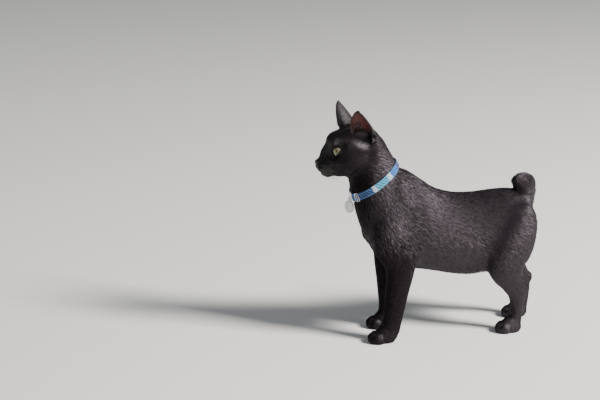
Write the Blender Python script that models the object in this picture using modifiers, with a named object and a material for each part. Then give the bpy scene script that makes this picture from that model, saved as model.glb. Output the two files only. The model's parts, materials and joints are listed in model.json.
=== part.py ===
# A standing Japanese bobtail cat at life size, with a collar and a tag.
# Metres, +Z up, the cat facing -X with its left side towards -Y, and its soles on z = 0.

import math

import bmesh
import bpy
from mathutils import Matrix, Vector
from mathutils.bvhtree import BVHTree

MM = 0.001

# Fits between touching pieces
GAP = 0.3 * MM

# Body: the line of the back and the nape, the line of the belly, chest and throat,
# and half the width, one station a line, from the rump forwards to the head.
BODY_STATIONS = (
    # back x, back z, belly x, belly z, half width, in millimetres
    (131.5, 170.0, 130.0, 140.0, 14.0),
    (126.0, 181.0, 123.0, 121.0, 26.0),
    (113.0, 191.0, 111.0, 104.0, 34.5),
    (95.0, 195.0, 92.0, 93.0, 38.5),
    (70.0, 194.5, 68.0, 84.0, 38.5),
    (42.0, 192.5, 42.0, 81.0, 38.5),
    (13.0, 194.5, 13.0, 83.0, 40.0),
    (-12.0, 203.0, -12.0, 86.5, 41.5),
    (-32.0, 217.0, -34.0, 89.5, 42.0),
    (-50.0, 228.5, -58.0, 93.0, 41.0),
    (-60.0, 232.5, -80.0, 101.0, 39.5),
    (-62.5, 234.5, -97.0, 122.0, 38.5),
    (-64.0, 237.5, -111.5, 149.0, 37.0),
    (-66.0, 242.0, -119.5, 173.0, 35.0),
    (-70.0, 250.0, -123.5, 190.0, 33.0),
    (-75.0, 259.0, -126.5, 203.0, 31.5),
    (-81.0, 270.0, -129.0, 215.0, 30.0),
    (-90.0, 280.0, -127.0, 231.0, 27.0),
)
RING_POINTS = 28
STATION_STEPS = 4
# How much wider the trunk is below its middle than above it
FULLER_BELOW = 0.10

# Head: where the tip of the nose is, and how far the head is turned to the cat's right
NOSE_TIP = Vector((-175.0, 8.5, 242.0)) * MM
HEAD_TURN = math.radians(5.0)

# Eyes
EYE_RADIUS = 10.2 * MM
EYE_BACK, EYE_OUT, EYE_UP = 33.6, 15.0, 18.2
EYE_GAZE_OUT = math.radians(24.0)
EYE_GAZE_UP = math.radians(6.0)
EYE_SLANT = math.radians(16.0)
EYE_OPENING = (8.8 * MM, 6.2 * MM)
CORNEA_RISE = 0.7 * MM
LID_THICKNESS = 1.2 * MM

# Ears: half-width and cup of an ear, and the pose of each one. The pose is the root's place
# behind, left of and above the nose in millimetres, how far the cup faces outward from ahead,
# and how far the tip leans outward and forward.
EAR_HEIGHT = 38.0 * MM
EAR_HALF_WIDTH = 15.4 * MM
EAR_CUP = 14.0 * MM
EAR_WALL = 1.7 * MM
EAR_ROOT = 18.0 * MM
EAR_TIP_SHIFT = 9.0 * MM
EAR_POSE = {
    "left": (60.0, 25.5, 37.0, 66.0, 20.0, 2.0),
    "right": (46.0, -24.5, 39.0, 44.0, 18.0, 7.0),
}

# Collar, its clip, ring and tag
COLLAR_TOP = Vector((-66.5, 0.0, 238.5)) * MM
COLLAR_FRONT = Vector((-124.8, 0.0, 196.5)) * MM
COLLAR_WIDTH = 10.0 * MM
COLLAR_THICKNESS = 1.7 * MM
COLLAR_SIDES = 56
COLLAR_REST = 0.8 * MM
CLIP_TURN = math.radians(4.0)
CLIP_LENGTH = 8.0 * MM
CLIP_WALL = 0.8 * MM
LUG_RADIUS = 2.4 * MM
LUG_HOLE = 1.4 * MM
LUG_THICKNESS = 1.3 * MM
LUG_OUT = 2.0 * MM
LUG_LOW = 0.6 * MM
RING_RADIUS = 3.0 * MM
RING_WIRE = 0.6 * MM
RING_TURN = math.radians(-25.0)
TAG_RADIUS = 8.4 * MM
TAG_THICKNESS = 1.2 * MM
TAG_HOLE = 1.75 * MM
TAG_RIM = 1.3 * MM
TAG_TURN = math.radians(-67.0)

# Sides by name: the left is 1, as a head point counts left
SIDES = {"left": 1, "right": -1}

# More than the cat's length, for a cutter that is to reach past it, in millimetres
REACH = 400.0

# Mesh sizes
CLAY_VOXEL = 1.5 * MM
MASS_SMOOTHING = 30
DETAIL_SMOOTHING = 6
TAIL_SMOOTHING = 10

# Triangles left in the whole clay for the head, in the whole clay for the rest, and in the tail
FINE_TRIANGLES = 24000
COARSE_TRIANGLES = 5200
TAIL_TRIANGLES = 360
THINNING_TRIES = 8


def clear_scene():
    for obj in list(bpy.data.objects):
        bpy.data.objects.remove(obj)


def new_collection(name, hidden=False):
    collection = bpy.data.collections.new(name)
    bpy.context.scene.collection.children.link(collection)
    collection.hide_render = hidden
    return collection


def material(name, color, roughness, metallic=0.0):
    made = bpy.data.materials.new(name)
    made.use_nodes = True
    shader = made.node_tree.nodes["Principled BSDF"]
    shader.inputs["Base Color"].default_value = (*color, 1.0)
    shader.inputs["Roughness"].default_value = roughness
    shader.inputs["Metallic"].default_value = metallic
    made.diffuse_color = (*color, 1.0)
    return made


def object_from_bmesh(name, bm, collection):
    mesh = bpy.data.meshes.new(name)
    bm.normal_update()
    bm.to_mesh(mesh)
    bm.free()
    obj = bpy.data.objects.new(name, mesh)
    collection.objects.link(obj)
    return obj


def evaluated_copy(obj, name, collection):
    """A new object whose mesh is what obj's modifiers make."""
    bpy.context.view_layer.update()
    graph = bpy.context.evaluated_depsgraph_get()
    mesh = bpy.data.meshes.new_from_object(obj.evaluated_get(graph))
    mesh.name = name
    made = bpy.data.objects.new(name, mesh)
    made.matrix_world = obj.matrix_world.copy()
    collection.objects.link(made)
    return made


def applied(obj, name, collection):
    """obj with its modifiers applied, in its own place and under a new name."""
    made = evaluated_copy(obj, name, collection)
    bpy.data.objects.remove(obj)
    made.name = name
    return made


# Shapes


def spline(stations, steps):
    """Catmull-Rom through rows of numbers, steps rows to each span."""
    rows = [Vector(row) for row in stations]
    rows = [rows[0] * 2 - rows[1], *rows, rows[-1] * 2 - rows[-2]]
    out = []
    for i in range(1, len(rows) - 2):
        p0, p1, p2, p3 = rows[i - 1], rows[i], rows[i + 1], rows[i + 2]
        for k in range(steps):
            t = k / steps
            out.append(
                0.5
                * (
                    2 * p1
                    + (p2 - p0) * t
                    + (2 * p0 - 5 * p1 + 4 * p2 - p3) * t * t
                    + (3 * p1 - p0 - 3 * p2 + p3) * t * t * t
                )
            )
    out.append(rows[-2])
    return out


def loft(bm, rings):
    """Adds a closed tube through rings of equal length, capped by a fan at each end."""
    loops = [[bm.verts.new(point) for point in ring] for ring in rings]
    count = len(loops[0])
    faces = []
    for near, far in zip(loops, loops[1:]):
        for i in range(count):
            j = (i + 1) % count
            faces.append(bm.faces.new((near[i], near[j], far[j], far[i])))
    for loop in (loops[0], loops[-1]):
        centre = bm.verts.new(sum((v.co for v in loop), Vector()) / count)
        for i in range(count):
            faces.append(bm.faces.new((loop[i], loop[(i + 1) % count], centre)))
    bmesh.ops.recalc_face_normals(bm, faces=faces)


def add_ellipsoid(bm, centre, radii, place=Matrix.Identity(4), turn=None, sides=24):
    """Adds an ellipsoid. Centre and radii are in metres, in the frame that place gives."""
    matrix = place @ Matrix.Translation(centre)
    if turn is not None:
        matrix = matrix @ turn
    matrix = matrix @ Matrix.Diagonal((*radii, 1.0))
    bmesh.ops.create_uvsphere(
        bm, u_segments=sides, v_segments=sides * 2 // 3, radius=1.0, matrix=matrix
    )


def add_limb(bm, stations):
    """Adds a limb through (x, y, z, half depth, half width) stations in millimetres."""
    rows = spline(stations, STATION_STEPS)
    rings = []
    for i, row in enumerate(rows):
        before, after = rows[max(i - 1, 0)], rows[min(i + 1, len(rows) - 1)]
        along = (Vector(after[:3]) - Vector(before[:3])).normalized()
        side = Vector((0, 1, 0))
        side = (side - along * side.dot(along)).normalized()
        depth = along.cross(side)
        centre, half_depth, half_width = Vector(row[:3]), row[3], row[4]
        rings.append(
            [
                (centre + depth * half_depth * math.cos(a) + side * half_width * math.sin(a)) * MM
                for a in (math.tau * k / RING_POINTS for k in range(RING_POINTS))
            ]
        )
    loft(bm, rings)


def add_body(bm):
    """The trunk and neck as one loft between the back line and the belly line."""
    rings = []
    for back_x, back_z, belly_x, belly_z, half_width in spline(BODY_STATIONS, STATION_STEPS):
        back = Vector((back_x, 0.0, back_z))
        belly = Vector((belly_x, 0.0, belly_z))
        centre, upwards = (back + belly) / 2, (back - belly) / 2
        ring = []
        for k in range(RING_POINTS):
            a = math.tau * k / RING_POINTS
            across = half_width * math.sin(a) * (1 - FULLER_BELOW * math.cos(a))
            ring.append((centre + upwards * math.cos(a) + Vector((0, across, 0))) * MM)
        rings.append(ring)
    loft(bm, rings)


# Head

HEAD_PLACE = Matrix.Translation(NOSE_TIP) @ Matrix.Rotation(-HEAD_TURN, 4, "Z")


def head_point(back, left, up):
    """A point of the head, in millimetres behind, left of and above the tip of the nose."""
    return HEAD_PLACE @ (Vector((back, -left, up)) * MM)


def head_direction(back, left, up):
    return (HEAD_PLACE.to_3x3() @ Vector((back, -left, up))).normalized()


# Lumps of the head: back, left, up, then half length, half width, half height, pitch in degrees.
# A lump off the middle is made on both sides.
HEAD_MASSES = (
    (56.0, 0.0, 21.5, 36.0, 30.0, 30.0, 0.0),  # brain case
    (35.0, 0.0, 29.0, 20.5, 17.0, 15.0, 0.0),  # forehead
    (43.0, 17.0, 24.0, 20.0, 14.0, 13.5, 0.0),  # brow above each eye
    (50.0, 17.0, 6.5, 26.0, 17.0, 18.5, 0.0),  # cheek
    (33.0, 13.5, 2.5, 17.0, 14.0, 12.5, 0.0),  # cheek below the eye
    (17.2, 0.0, 14.0, 18.0, 7.8, 9.9, -65.0),  # bridge of the nose
    (19.5, 0.0, -0.5, 16.5, 14.5, 12.0, 0.0),  # muzzle
    (36.0, 0.0, -6.5, 24.0, 20.0, 13.5, 0.0),  # lower jaw
    (56.0, 0.0, -3.0, 25.0, 26.0, 19.0, 0.0),  # throat
)
HEAD_DETAILS = (
    (13.2, 8.0, -5.2, 11.4, 9.4, 7.9, 0.0),  # whisker pad
    (5.4, 0.0, 1.0, 5.4, 5.9, 5.0, 20.0),  # nose
    (17.5, 0.0, -13.0, 10.0, 9.0, 7.2, 10.0),  # chin
)


def add_lumps(bm, lumps):
    for back, left, up, length, width, height, pitch in lumps:
        turn = Matrix.Rotation(math.radians(pitch), 4, "Y")
        for side in (1, -1) if left else (1,):
            centre = Vector((back, -side * left, up)) * MM
            radii = Vector((length, width, height)) * MM
            add_ellipsoid(bm, centre, radii, HEAD_PLACE, turn)


def eye_frame(side):
    """The eye's centre as a matrix whose +X looks out along the gaze and +Z is up across the lids.
    side is 1 for the left eye and -1 for the right."""
    gaze = head_direction(
        -math.cos(EYE_GAZE_OUT) * math.cos(EYE_GAZE_UP),
        side * math.sin(EYE_GAZE_OUT) * math.cos(EYE_GAZE_UP),
        math.sin(EYE_GAZE_UP),
    )
    level = Vector((0, 0, 1)).cross(gaze).normalized()
    upright = gaze.cross(level)
    turn = Matrix((gaze, level, upright)).transposed().to_4x4()
    slant = Matrix.Rotation(side * EYE_SLANT, 4, "X")
    return Matrix.Translation(head_point(EYE_BACK, side * EYE_OUT, EYE_UP)) @ turn @ slant


def add_lid_mounds(bm):
    """The lids' bulge over each eyeball, which the socket is then cut out of."""
    radius = EYE_RADIUS + GAP + LID_THICKNESS
    for side in (1, -1):
        add_ellipsoid(bm, Vector(), Vector((radius, radius, radius)), eye_frame(side))


# Legs: x, y, z, half depth, half width in millimetres, from the root down to the foot

FORELEG = {
    "left": (
        (-66.0, -27.0, 190.0, 17.0, 9.0),
        (-80.0, -31.0, 160.0, 24.0, 12.5),
        (-78.0, -33.0, 135.0, 27.0, 14.5),
        (-68.0, -34.0, 112.0, 24.0, 14.5),
        (-67.5, -34.5, 92.0, 19.5, 13.5),
        (-70.5, -35.0, 72.0, 17.0, 12.5),
        (-74.0, -35.5, 52.0, 15.6, 12.0),
        (-77.5, -36.0, 32.0, 14.2, 12.0),
        (-81.0, -36.5, 16.0, 14.0, 13.0),
        (-86.0, -36.5, 8.0, 14.0, 13.0),
    ),
    "right": (
        (-62.0, 27.0, 190.0, 17.0, 9.0),
        (-75.0, 31.0, 160.0, 24.0, 12.5),
        (-70.0, 33.0, 135.0, 27.0, 14.5),
        (-63.0, 33.0, 112.0, 24.0, 14.5),
        (-64.5, 31.5, 92.0, 19.5, 13.5),
        (-64.5, 30.5, 72.0, 17.0, 12.5),
        (-64.0, 29.5, 52.0, 15.6, 12.0),
        (-63.5, 28.5, 32.0, 14.2, 12.0),
        (-65.0, 27.5, 16.0, 14.0, 13.0),
        (-70.0, 27.0, 8.0, 14.0, 13.0),
    ),
}
FOREPAW = {"left": (-89.0, -37.0), "right": (-73.0, 27.0)}

HINDLEG = {
    "left": (
        (106.0, -19.0, 168.0, 25.0, 15.0),
        (102.0, -26.0, 148.0, 30.0, 17.0),
        (93.0, -30.0, 124.0, 33.0, 18.0),
        (85.0, -32.0, 103.0, 30.0, 17.0),
        (86.0, -33.5, 86.0, 25.0, 14.5),
        (93.0, -34.5, 71.0, 18.5, 12.0),
        (99.0, -35.0, 57.0, 14.0, 10.5),
        (101.0, -35.5, 43.0, 10.8, 9.8),
        (99.5, -36.0, 28.0, 9.4, 9.8),
        (97.5, -36.0, 14.0, 10.0, 11.0),
        (93.0, -36.0, 8.0, 11.0, 12.0),
    ),
    "right": (
        (108.0, 19.0, 168.0, 25.0, 15.0),
        (106.0, 26.0, 148.0, 30.0, 17.0),
        (100.0, 29.0, 124.0, 33.0, 18.0),
        (100.0, 30.0, 103.0, 30.0, 17.0),
        (108.0, 30.0, 86.0, 25.0, 14.5),
        (121.0, 30.0, 71.0, 18.5, 12.0),
        (131.0, 30.0, 57.0, 14.0, 10.5),
        (135.0, 30.0, 43.0, 10.8, 9.8),
        (134.5, 30.0, 28.0, 9.4, 9.8),
        (132.0, 30.0, 14.0, 10.0, 11.0),
        (127.0, 30.0, 8.0, 11.0, 12.0),
    ),
}
HINDPAW = {"left": (92.0, -36.0), "right": (126.0, 30.0)}
HEEL = {"left": (110.0, -35.0, 57.0), "right": (143.0, 30.0, 57.0)}

# Toes of a paw: forward of the paw's middle, outward from it, half length
TOES = ((9.5, -9.4, 8.6), (13.6, -3.7, 9.4), (13.8, 3.6, 9.4), (10.0, 9.4, 8.6))
TOE_WIDTH, TOE_HEIGHT, TOE_UP = 5.3, 8.0, 6.4


def add_palm(bm, place, scale):
    """The back of a paw, sloping from the wrist down to the toes, and its sole."""
    x, y = place
    slope = Matrix.Rotation(math.radians(-32.0), 4, "Y")
    top = Vector((x - 1.0, y, 12.0)) * MM
    add_ellipsoid(bm, top, Vector((17.0 * scale, 12.6 * scale, 10.5)) * MM, turn=slope)
    sole = Vector((x + 1.0, y, 6.5)) * MM
    add_ellipsoid(bm, sole, Vector((17.0 * scale, 13.6 * scale, 9.5)) * MM)


def add_toes(bm, place, scale):
    """Four toes whose undersides sink a little below z = 0."""
    x, y = place
    for forward, outward, half_length in TOES:
        centre = Vector((x - forward * scale, y + outward * scale, TOE_UP)) * MM
        splay = Matrix.Rotation(-math.radians(outward * 1.2), 4, "Z")
        radii = Vector((half_length * scale, TOE_WIDTH * scale, TOE_HEIGHT)) * MM
        add_ellipsoid(bm, centre, radii, turn=splay, sides=18)


def add_legs(bm):
    for side in ("left", "right"):
        add_limb(bm, FORELEG[side])
        add_limb(bm, HINDLEG[side])
        add_palm(bm, FOREPAW[side], 1.0)
        add_palm(bm, HINDPAW[side], 0.94)
        add_ellipsoid(bm, Vector(HEEL[side]) * MM, Vector((6.5, 7.0, 9.0)) * MM)


# Muscle masses: x, left, z, half length, half width, half height in millimetres, pitch in degrees
MUSCLES = (
    (-64.0, 22.0, 190.0, 20.0, 15.0, 40.0, -18.0),  # shoulder blade
    (-88.0, 20.0, 146.0, 19.0, 16.0, 26.0, 0.0),  # point of the shoulder
    (-60.0, 29.0, 128.0, 21.0, 13.5, 25.0, 25.0),  # back of the upper arm
    (108.0, 21.0, 154.0, 22.0, 18.0, 27.0, 0.0),  # rump
    (74.0, 27.0, 120.0, 26.0, 14.0, 34.0, -25.0),  # front of the thigh
)


def add_muscles(bm):
    for x, left, z, length, width, height, pitch in MUSCLES:
        turn = Matrix.Rotation(math.radians(pitch), 4, "Y")
        for side in (1, -1):
            add_ellipsoid(
                bm,
                Vector((x, -side * left, z)) * MM,
                Vector((length, width, height)) * MM,
                turn=turn,
            )


# Tail: x, y, z, radius in millimetres: a short tail carried up, curling forwards over the rump
# and in upon itself, with its tip towards the left
TAIL = (
    (115.0, 0.0, 172.0, 15.0),
    (123.0, 0.0, 183.0, 12.5),
    (126.5, -0.5, 194.0, 10.6),
    (124.5, -1.5, 203.0, 10.2),
    (117.0, -3.0, 206.0, 10.2),
    (110.5, -5.5, 202.5, 10.0),
    (110.0, -8.5, 196.0, 9.0),
    (114.5, -10.5, 193.0, 7.5),
)


def add_tail(bm):
    add_limb(bm, [(x, y, z, radius, radius) for x, y, z, radius in TAIL])
    add_ellipsoid(bm, Vector(TAIL[-1][:3]) * MM, Vector((8.0, 8.0, 8.0)) * MM, sides=18)


# Joining the clay


def smooth(obj, iterations):
    modifier = obj.modifiers.new("smooth", "SMOOTH")
    modifier.factor = 0.5
    modifier.iterations = iterations


def fused(obj, name, iterations, helpers):
    """obj's overlapping shapes as one closed surface, softened where they join."""
    remesh = obj.modifiers.new("fuse", "REMESH")
    remesh.mode = "VOXEL"
    remesh.voxel_size = CLAY_VOXEL
    smooth(obj, iterations)
    return applied(obj, name, helpers)


def make_clay(helpers):
    """Head, trunk, legs and paws fused into one closed surface: first the masses, with soft joins,
    then nose, lips, lids and toes laid on them."""
    bm = bmesh.new()
    add_body(bm)
    add_muscles(bm)
    add_legs(bm)
    add_lumps(bm, HEAD_MASSES)
    masses = fused(object_from_bmesh("lumps", bm, helpers), "masses", MASS_SMOOTHING, helpers)
    bm = bmesh.new()
    bm.from_mesh(masses.data)
    bpy.data.objects.remove(masses)
    add_lumps(bm, HEAD_DETAILS)
    add_lid_mounds(bm)
    for side in ("left", "right"):
        add_toes(bm, FOREPAW[side], 1.0)
        add_toes(bm, HINDPAW[side], 0.94)
    return fused(object_from_bmesh("lumps", bm, helpers), "clay", DETAIL_SMOOTHING, helpers)


def is_closed(mesh):
    bm = bmesh.new()
    bm.from_mesh(mesh)
    closed = all(edge.is_manifold for edge in bm.edges) and all(vert.is_manifold for vert in bm.verts)
    bm.free()
    return closed


def thinned(solid, name, triangles, helpers):
    """A copy of a closed surface with about so many triangles left.
    A few counts are tried, as now and then one leaves a pinched edge."""
    faces = sum(len(face.vertices) - 2 for face in solid.data.polygons)
    copy = evaluated_copy(solid, name, helpers)
    decimate = copy.modifiers.new("thin", "DECIMATE")
    decimate.use_collapse_triangulate = True
    for attempt in range(THINNING_TRIES):
        decimate.ratio = triangles / faces * (1 + 0.03 * attempt)
        made = evaluated_copy(copy, name, helpers)
        if is_closed(made.data):
            break
        bpy.data.objects.remove(made)
    bpy.data.objects.remove(copy)
    return helper(made)


# Cutting


def add_boolean(obj, other, operation):
    modifier = obj.modifiers.new(operation.lower(), "BOOLEAN")
    modifier.operation = operation
    modifier.solver = "MANIFOLD"
    modifier.object = other


def box_cutter(name, low, high, helpers, place=Matrix.Identity(4)):
    """A box between two corners, in millimetres of the frame that place gives."""
    bm = bmesh.new()
    centre = (Vector(low) + Vector(high)) / 2 * MM
    size = (Vector(high) - Vector(low)) * MM
    matrix = place @ Matrix.Translation(centre) @ Matrix.Diagonal((*size, 1.0))
    bmesh.ops.create_cube(bm, size=1.0, matrix=matrix)
    return helper(object_from_bmesh(name, bm, helpers))


def helper(obj):
    obj.hide_render = True
    obj.display_type = "WIRE"
    return obj


def cut_sheet(name, corners, sweep, helpers):
    """A thin bent plate that parts the clay: corners is its line, in millimetres, swept along a vector."""
    bm = bmesh.new()
    sweep = Vector(sweep)
    near = [bm.verts.new(Vector(corner) * MM) for corner in corners]
    far = [bm.verts.new((Vector(corner) + sweep) * MM) for corner in corners]
    for i in range(len(corners) - 1):
        bm.faces.new((near[i], near[i + 1], far[i + 1], far[i]))
    sheet = object_from_bmesh(name, bm, helpers)
    wall = sheet.modifiers.new("wall", "SOLIDIFY")
    wall.thickness = GAP
    wall.offset = 0.0
    wall.use_even_offset = True
    return helper(applied(sheet, name, helpers))


def loose_parts(obj, collection):
    """One object for each closed surface of obj, largest first."""
    bm = bmesh.new()
    bm.from_mesh(obj.data)
    bm.verts.ensure_lookup_table()
    seen, groups = set(), []
    for start in bm.verts:
        if start in seen:
            continue
        group, stack = [], [start]
        seen.add(start)
        while stack:
            vertex = stack.pop()
            group.append(vertex)
            for edge in vertex.link_edges:
                other = edge.other_vert(vertex)
                if other not in seen:
                    seen.add(other)
                    stack.append(other)
        groups.append(group)
    made = []
    for group in groups:
        part = bmesh.new()
        index = {vertex: part.verts.new(vertex.co) for vertex in group}
        for face in {face for vertex in group for face in vertex.link_faces}:
            part.faces.new([index[vertex] for vertex in face.verts])
        made.append((abs(part.calc_volume()), part))
    made.sort(key=lambda item: -item[0])
    return [object_from_bmesh(f"piece_{i}", part, collection) for i, (_, part) in enumerate(made)]


def keep_largest(obj, name, collection):
    """The largest closed surface of obj, as a new object."""
    return keep_part(obj, name, collection, lambda part: abs(volume(part)))


def above_scalp(obj, name, collection):
    """The closed surface of obj that reaches highest, as a new object."""
    return keep_part(obj, name, collection, lambda part: max(v.co.z for v in part.data.vertices))


def volume(obj):
    bm = bmesh.new()
    bm.from_mesh(obj.data)
    found = bm.calc_volume()
    bm.free()
    return found


def keep_part(obj, name, collection, measure):
    """Of obj's closed surfaces, the one with the largest measure, as a new object."""
    parts = loose_parts(obj, collection)
    bpy.data.objects.remove(obj)
    chosen = max(parts, key=measure)
    for part in parts:
        if part is not chosen:
            bpy.data.objects.remove(part)
    chosen.name = name
    chosen.data.name = name
    return chosen


def inflated(obj, name, distance, helpers):
    """A copy of obj pushed out along its normals, as a cutter that leaves a gap."""
    copy = evaluated_copy(obj, name, helpers)
    push = copy.modifiers.new("push", "DISPLACE")
    push.strength = distance
    push.mid_level = 0.0
    return helper(applied(copy, name, helpers))


# The planes and sheets that part the clay, in millimetres.
# A sheet runs along a line given by its start and sweep; its section is outward and up.

HEAD_CUT = ((-80.0, 274.0), (-131.5, 222.0))
NECK_CUT = ((-61.0, 231.0), (-119.5, 188.0))
LEG_SHEETS = {
    "foreleg_left": ((-130.0, 160.0), (98.0, -66.0), ((75.0, 0.0), (18.0, 0.0), (18.0, -90.0)), -1),
    "foreleg_right": ((-130.0, 160.0), (100.0, -66.0), ((75.0, 0.0), (17.0, 0.0), (17.0, -90.0)), 1),
    "hindleg_left": ((40.0, 73.0), (110.0, 84.0), ((75.0, 0.0), (17.0, 0.0), (11.0, -95.0)), -1),
    "hindleg_right": ((46.0, 75.0), (110.0, 84.0), ((75.0, 0.0), (16.0, 0.0), (10.0, -95.0)), 1),
}


def half_space(name, line, ahead, helpers):
    """Everything ahead of (or behind) the plane through a line across the body, as a box."""
    (x0, z0), (x1, z1) = line
    low, high = Vector((x1, 0.0, z1)) * MM, Vector((x0, 0.0, z0)) * MM
    up = (high - low).normalized()
    forward = Vector((-up.z, 0.0, up.x))
    turn = Matrix((forward, Vector((0, 1, 0)), forward.cross(Vector((0, 1, 0))))).transposed().to_4x4()
    place = Matrix.Translation((low + high) / 2) @ turn
    near, far = (GAP / 2 / MM, REACH) if ahead else (-REACH, -GAP / 2 / MM)
    return box_cutter(name, (near, -REACH, -REACH), (far, REACH, REACH), helpers, place)


def leg_sheet(name, helpers):
    (x, z), (run, rise), section, sign = LEG_SHEETS[name]
    corners = [(x, sign * out, z + up) for out, up in section]
    return cut_sheet(name + "_sheet", corners, (run, 0.0, rise), helpers)


# Head details


def make_eye(name, side, collection):
    """An eyeball with the swell of its cornea, facing along its gaze."""
    bm = bmesh.new()
    turn = Matrix.Rotation(math.radians(90), 4, "Y")
    bmesh.ops.create_uvsphere(bm, u_segments=16, v_segments=10, radius=EYE_RADIUS, matrix=turn)
    for vertex in bm.verts:
        ahead = vertex.co.x / EYE_RADIUS
        if ahead > 0.6:
            vertex.co += vertex.co.normalized() * CORNEA_RISE * (ahead - 0.6) / 0.4
    bm.transform(eye_frame(side))
    return object_from_bmesh(name, bm, collection)


def socket_cutter(name, side, helpers):
    """The room an eyeball needs."""
    bm = bmesh.new()
    turn = Matrix.Rotation(math.radians(90), 4, "Y")
    radius = EYE_RADIUS + GAP * 1.3
    bmesh.ops.create_uvsphere(bm, u_segments=20, v_segments=12, radius=radius, matrix=turn)
    for vertex in bm.verts:
        ahead = vertex.co.x / radius
        if ahead > 0.55:
            vertex.co += vertex.co.normalized() * CORNEA_RISE * 1.2 * (ahead - 0.55) / 0.45
    bm.transform(eye_frame(side))
    return helper(object_from_bmesh(name, bm, helpers))


def lid_cutter(name, side, helpers):
    """The almond opening between the lids, as a prism along the gaze that widens outwards."""
    half_width, half_height = EYE_OPENING
    bm = bmesh.new()
    points = 18
    rings = []
    for ahead, grow in ((5.0 * MM, 1.0), (9.0 * MM, 1.0), (22.0 * MM, 1.5)):
        ring = []
        for k in range(points):
            a = math.tau * k / points
            across = half_width * math.cos(a)
            up = half_height * math.copysign(abs(math.sin(a)) ** 1.15, math.sin(a))
            ring.append(Vector((ahead, across * grow, up * grow)))
        rings.append(ring)
    loft(bm, rings)
    bm.transform(eye_frame(side))
    return helper(object_from_bmesh(name, bm, helpers))


# The line of the mouth, in millimetres behind, left of and above the nose:
# from below the nose down the middle and back along the lip to its corner.
MOUTH_LINE = (
    (0.5, 0.0, -3.5),
    (1.0, 0.3, -8.0),
    (3.0, 3.5, -12.0),
    (7.0, 8.5, -13.6),
    (13.0, 13.5, -13.2),
    (19.5, 16.0, -11.5),
)
MOUTH_DEPTH, MOUTH_WIDTH = 2.2 * MM, 0.8 * MM


def mouth_cutter(name, side, surface, helpers):
    """A thin plate standing on the surface along the line of the mouth."""
    rows = spline(MOUTH_LINE, 2)
    bm = bmesh.new()
    pairs = []
    for i, (back, left, up) in enumerate(rows):
        guess = head_point(back, side * left, up)
        spot, normal, _, _ = surface.find_nearest(guess)
        depth = MOUTH_DEPTH * (0.45 if i in (0, len(rows) - 1) else 1.0)
        pairs.append((bm.verts.new(spot + normal * 2.5 * MM), bm.verts.new(spot - normal * depth)))
    for (a, b), (c, d) in zip(pairs, pairs[1:]):
        bm.faces.new((a, b, d, c))
    plate = object_from_bmesh(name, bm, helpers)
    wall = plate.modifiers.new("wall", "SOLIDIFY")
    wall.thickness = MOUTH_WIDTH
    wall.offset = 0.0
    return helper(applied(plate, name, helpers))


NOSTRIL = (0.9, 2.5, 0.2)
NOSTRIL_RADII = Vector((2.2, 0.9, 1.5)) * MM


def nostril_cutter(name, side, helpers):
    back, left, up = NOSTRIL
    bm = bmesh.new()
    turn = Matrix.Rotation(-side * math.radians(25), 4, "Z") @ Matrix.Rotation(side * math.radians(30), 4, "X")
    centre = Vector((back, -side * left, up)) * MM
    add_ellipsoid(bm, centre, NOSTRIL_RADII, HEAD_PLACE, turn, sides=10)
    return helper(object_from_bmesh(name, bm, helpers))


def make_ear(name, side, collection):
    """A cupped ear on its root, facing outwards from ahead."""
    back, left, up, facing, lean_out, lean_ahead = EAR_POSE[name.split("_")[1]]
    facing, out, ahead = math.radians(facing), math.radians(lean_out), math.radians(lean_ahead)
    face = head_direction(-math.cos(facing), side * math.sin(facing), 0.0)
    axis = head_direction(-math.tan(ahead), side * math.tan(out), 1.0)
    face = (face - axis * face.dot(axis)).normalized()
    across = head_direction(math.sin(facing), side * math.cos(facing), 0.0)
    across = (across - axis * across.dot(axis) - face * across.dot(face)).normalized()
    root = head_point(back, left, up)
    rows, columns = 10, 10
    bm = bmesh.new()
    grid = []
    for i in range(rows + 1):
        height = -EAR_ROOT + (EAR_HEIGHT * 0.985 + EAR_ROOT) * i / rows
        t = max(height / EAR_HEIGHT, 0.0)
        half_width = EAR_HALF_WIDTH * (1 - t**2.1) ** 0.72
        if height < 0:
            half_width *= 1 + 0.25 * height / EAR_ROOT
        cup = EAR_CUP * (1 - t) ** 0.8 + 1.2 * MM
        wrap = math.radians(128 - 75 * t)
        widest = 1.0 if wrap > math.pi / 2 else math.sin(wrap)
        shift = -EAR_TIP_SHIFT * t**1.2
        line = []
        for k in range(columns + 1):
            a = wrap * (2 * k / columns - 1)
            deep = -cup * (math.cos(a) - math.cos(wrap)) / (1 - math.cos(wrap))
            wide = shift + half_width * math.sin(a) / widest
            line.append(bm.verts.new(root + axis * height + face * deep + across * wide))
        grid.append(line)
    for low, high in zip(grid, grid[1:]):
        for k in range(columns):
            bm.faces.new((low[k], low[k + 1], high[k + 1], high[k]))
    # Normals towards the back of the ear, so that the wall grows outwards
    middle = grid[rows // 2][columns // 2].link_faces[0]
    middle.normal_update()
    if middle.normal.dot(face) > 0:
        bmesh.ops.reverse_faces(bm, faces=bm.faces)
    ear = object_from_bmesh(name, bm, collection)
    wall = ear.modifiers.new("wall", "SOLIDIFY")
    wall.thickness = EAR_WALL
    wall.offset = 1.0
    return ear


# Collar


def collar_frame():
    """The collar's middle as a matrix: X towards its front, Y to the cat's left, Z up across the band."""
    ahead = (COLLAR_FRONT - COLLAR_TOP).normalized()
    left = Vector((0, -1, 0))
    upward = ahead.cross(left).normalized()
    turn = Matrix((ahead, left, upward)).transposed().to_4x4()
    return Matrix.Translation((COLLAR_TOP + COLLAR_FRONT) / 2) @ turn


def neck_radius(surface, angle, height):
    """How far the neck reaches from the collar's middle, in one direction at one height."""
    frame = collar_frame()
    start = frame @ Vector((0, 0, height))
    direction = frame.to_3x3() @ Vector((math.cos(angle), math.sin(angle), 0))
    spot, _, _, _ = surface.ray_cast(start, direction)
    return (spot - start).length


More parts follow.
